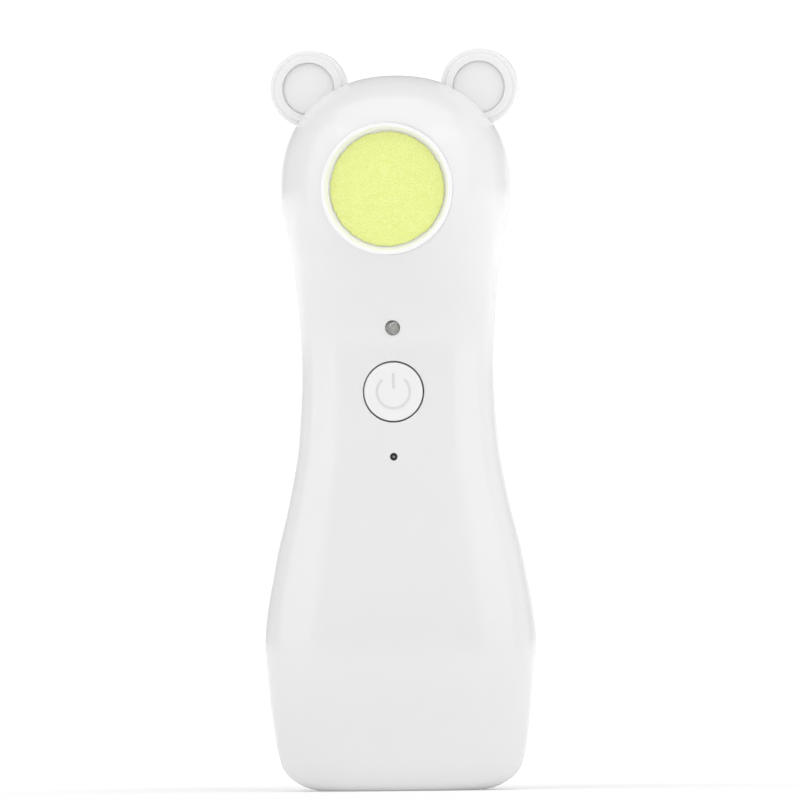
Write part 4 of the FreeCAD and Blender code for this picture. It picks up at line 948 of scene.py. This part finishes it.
def floor_sheet():
    """A pale matte floor with a painted glow: more away from and behind the object, less next to it as
    painted shade.
    """
    material, tree, shader, node = new_material("pale_floor_painted_glow")
    place = node("ShaderNodeTexCoord").outputs["Object"]
    cloud = node("ShaderNodeTexNoise", {"Scale": 6.0, "Detail": 3.0}, Vector=place)
    tone = ramp_between(node, tree, cloud.outputs["Fac"], (0.84, 0.84, 0.84), (0.87, 0.87, 0.87))
    tree.links.new(tone.outputs["Color"], shader.inputs["Base Color"])
    shader.inputs["Roughness"].default_value = 0.9
    shader.inputs["Specular IOR Level"].default_value = 0.1
    away = node("ShaderNodeVectorMath", {"operation": "DISTANCE"})
    tree.links.new(place, away.inputs[0])
    away.inputs[1].default_value = GLOW_CENTRE
    behind = node("ShaderNodeSeparateXYZ", Vector=place)
    total = node("ShaderNodeMath", {"operation": "ADD"})
    for socket, base, source, (start, end, level) in (
            (total.inputs[0], FLOOR_GLOW, away.outputs["Value"], NEAR_GLOW),
            (total.inputs[1], 0.0, behind.outputs["Y"], BACK_GLOW)):
        glow = node("ShaderNodeMapRange", {"interpolation_type": "SMOOTHSTEP", "From Min": start,
                                           "From Max": end, "To Min": base, "To Max": base + level},
                    Value=source)
        tree.links.new(glow.outputs["Result"], socket)
    # the summed glow is the floor's emission: painted light, weakest next to the object as painted shade
    shader.inputs["Emission Color"].default_value = (1, 1, 1, 1)
    tree.links.new(total.outputs["Value"], shader.inputs["Emission Strength"])
    corners = [(x * FLOOR_REACH, y * FLOOR_REACH, 0) for x, y in ((-1, -1), (1, -1), (1, 1), (-1, 1))]
    mesh = bpy.data.meshes.new("floor")
    mesh.from_pydata(corners, [], [(0, 1, 2, 3)])
    mesh.materials.append(material)
    floor = bpy.data.objects.new("floor", mesh)
    bpy.context.scene.collection.objects.link(floor)


def softbox(name, azimuth, elevation, distance, width, height, radiance, target=MIDDLE, mirrored=True):
    """A soft rectangular light that faces its target; not mirrored, it leaves no highlight."""
    data = bpy.data.lights.new(name, "AREA")
    data.shape = "RECTANGLE"
    data.size, data.size_y = width, height
    data.energy = radiance * math.pi * width * height
    light = bpy.data.objects.new(name, data)
    away = direction(azimuth, elevation)
    light.location = target + away * distance
    light.rotation_euler = away.to_track_quat("Z", "Y").to_euler()
    light.visible_camera = False
    light.visible_glossy = mirrored
    bpy.context.scene.collection.objects.link(light)


def surround():
    """A pale room with a sheet of white paper behind the object."""
    world = bpy.data.worlds.new("studio")
    world.use_nodes = True
    tree = world.node_tree
    ray = tree.nodes.new("ShaderNodeTexCoord").outputs["Generated"]
    parts = tree.nodes.new("ShaderNodeSeparateXYZ")
    tree.links.new(ray, parts.inputs["Vector"])
    share = tree.nodes.new("ShaderNodeMath")
    share.operation = "MULTIPLY"
    for socket, axis, start, end in (
            (share.inputs[0], "Z", math.sin(math.radians(PAPER_HIGH)), math.sin(math.radians(PAPER_LOW))),
            (share.inputs[1], "Y", math.cos(math.radians(PAPER_EDGE)), math.cos(math.radians(PAPER_WHITE)))):
        fade = tree.nodes.new("ShaderNodeMapRange")
        fade.interpolation_type = "SMOOTHSTEP"
        fade.inputs["From Min"].default_value = start
        fade.inputs["From Max"].default_value = end
        tree.links.new(parts.outputs[axis], fade.inputs["Value"])
        tree.links.new(fade.outputs["Result"], socket)
    level = tree.nodes.new("ShaderNodeMapRange")
    level.inputs["To Min"].default_value = ROOM_LEVEL
    level.inputs["To Max"].default_value = PAPER_LEVEL
    tree.links.new(share.outputs["Value"], level.inputs["Value"])
    tree.links.new(level.outputs["Result"], tree.nodes["Background"].inputs["Strength"])
    tree.nodes["Background"].inputs["Color"].default_value = (1, 1, 1, 1)
    bpy.context.scene.world = world


PAPER_SPOT = Vector((0, 0.35, 0))


def lamps():
    """Softboxes at both sides of the camera, one far round to the right, one overhead and one behind."""
    # azimuth, elevation, distance, width, height, radiance
    softbox("softbox_right", 51, 24, 1.0, 0.81, 1.0, 1.0)
    softbox("softbox_left", -60, 24, 1.0, 0.87, 1.0, 0.98)
    softbox("softbox_side", 98, 24, 1.0, 0.85, 1.0, 0.4)
    softbox("softbox_top", 0, 72, 1.1, 1.8, 1.1, 0.93)
    softbox("softbox_paper", 180, 50, 0.9, 0.9, 0.5, 1.6, PAPER_SPOT, mirrored=False)


CAMERA_TURN, CAMERA_ROLL = 5.8, 0.63     # towards +X, and clockwise
CAMERA_DISTANCE = 4.0
FIELD = 0.1641                 # across the frame at the object
VIEW_HEIGHT, VIEW_SIDE = 0.0801, 0.0006
SENSOR = 36.0                  # millimetres


def photo_camera():
    """A long lens level with the middle of the object, a little to its right."""
    turn = math.radians(CAMERA_TURN)
    back = Vector((math.sin(turn), -math.cos(turn), 0))
    right = Vector((math.cos(turn), math.sin(turn), 0))
    data = bpy.data.cameras.new("camera")
    data.sensor_width = SENSOR
    data.lens = SENSOR * CAMERA_DISTANCE / FIELD
    data.clip_start, data.clip_end = 0.01, 50.0
    camera = bpy.data.objects.new("camera", data)
    camera.rotation_mode = "QUATERNION"
    camera.location = right * VIEW_SIDE + Vector((0, 0, VIEW_HEIGHT)) + back * CAMERA_DISTANCE
    level = (-back).to_track_quat("-Z", "Y")
    camera.rotation_quaternion = level @ Quaternion((0, 0, 1), math.radians(-CAMERA_ROLL))
    bpy.context.scene.collection.objects.link(camera)
    bpy.context.scene.camera = camera


floor_sheet()
surround()
lamps()
photo_camera()
bpy.context.scene.view_settings.view_transform = "Standard"
bpy.context.scene.view_settings.look = "None"
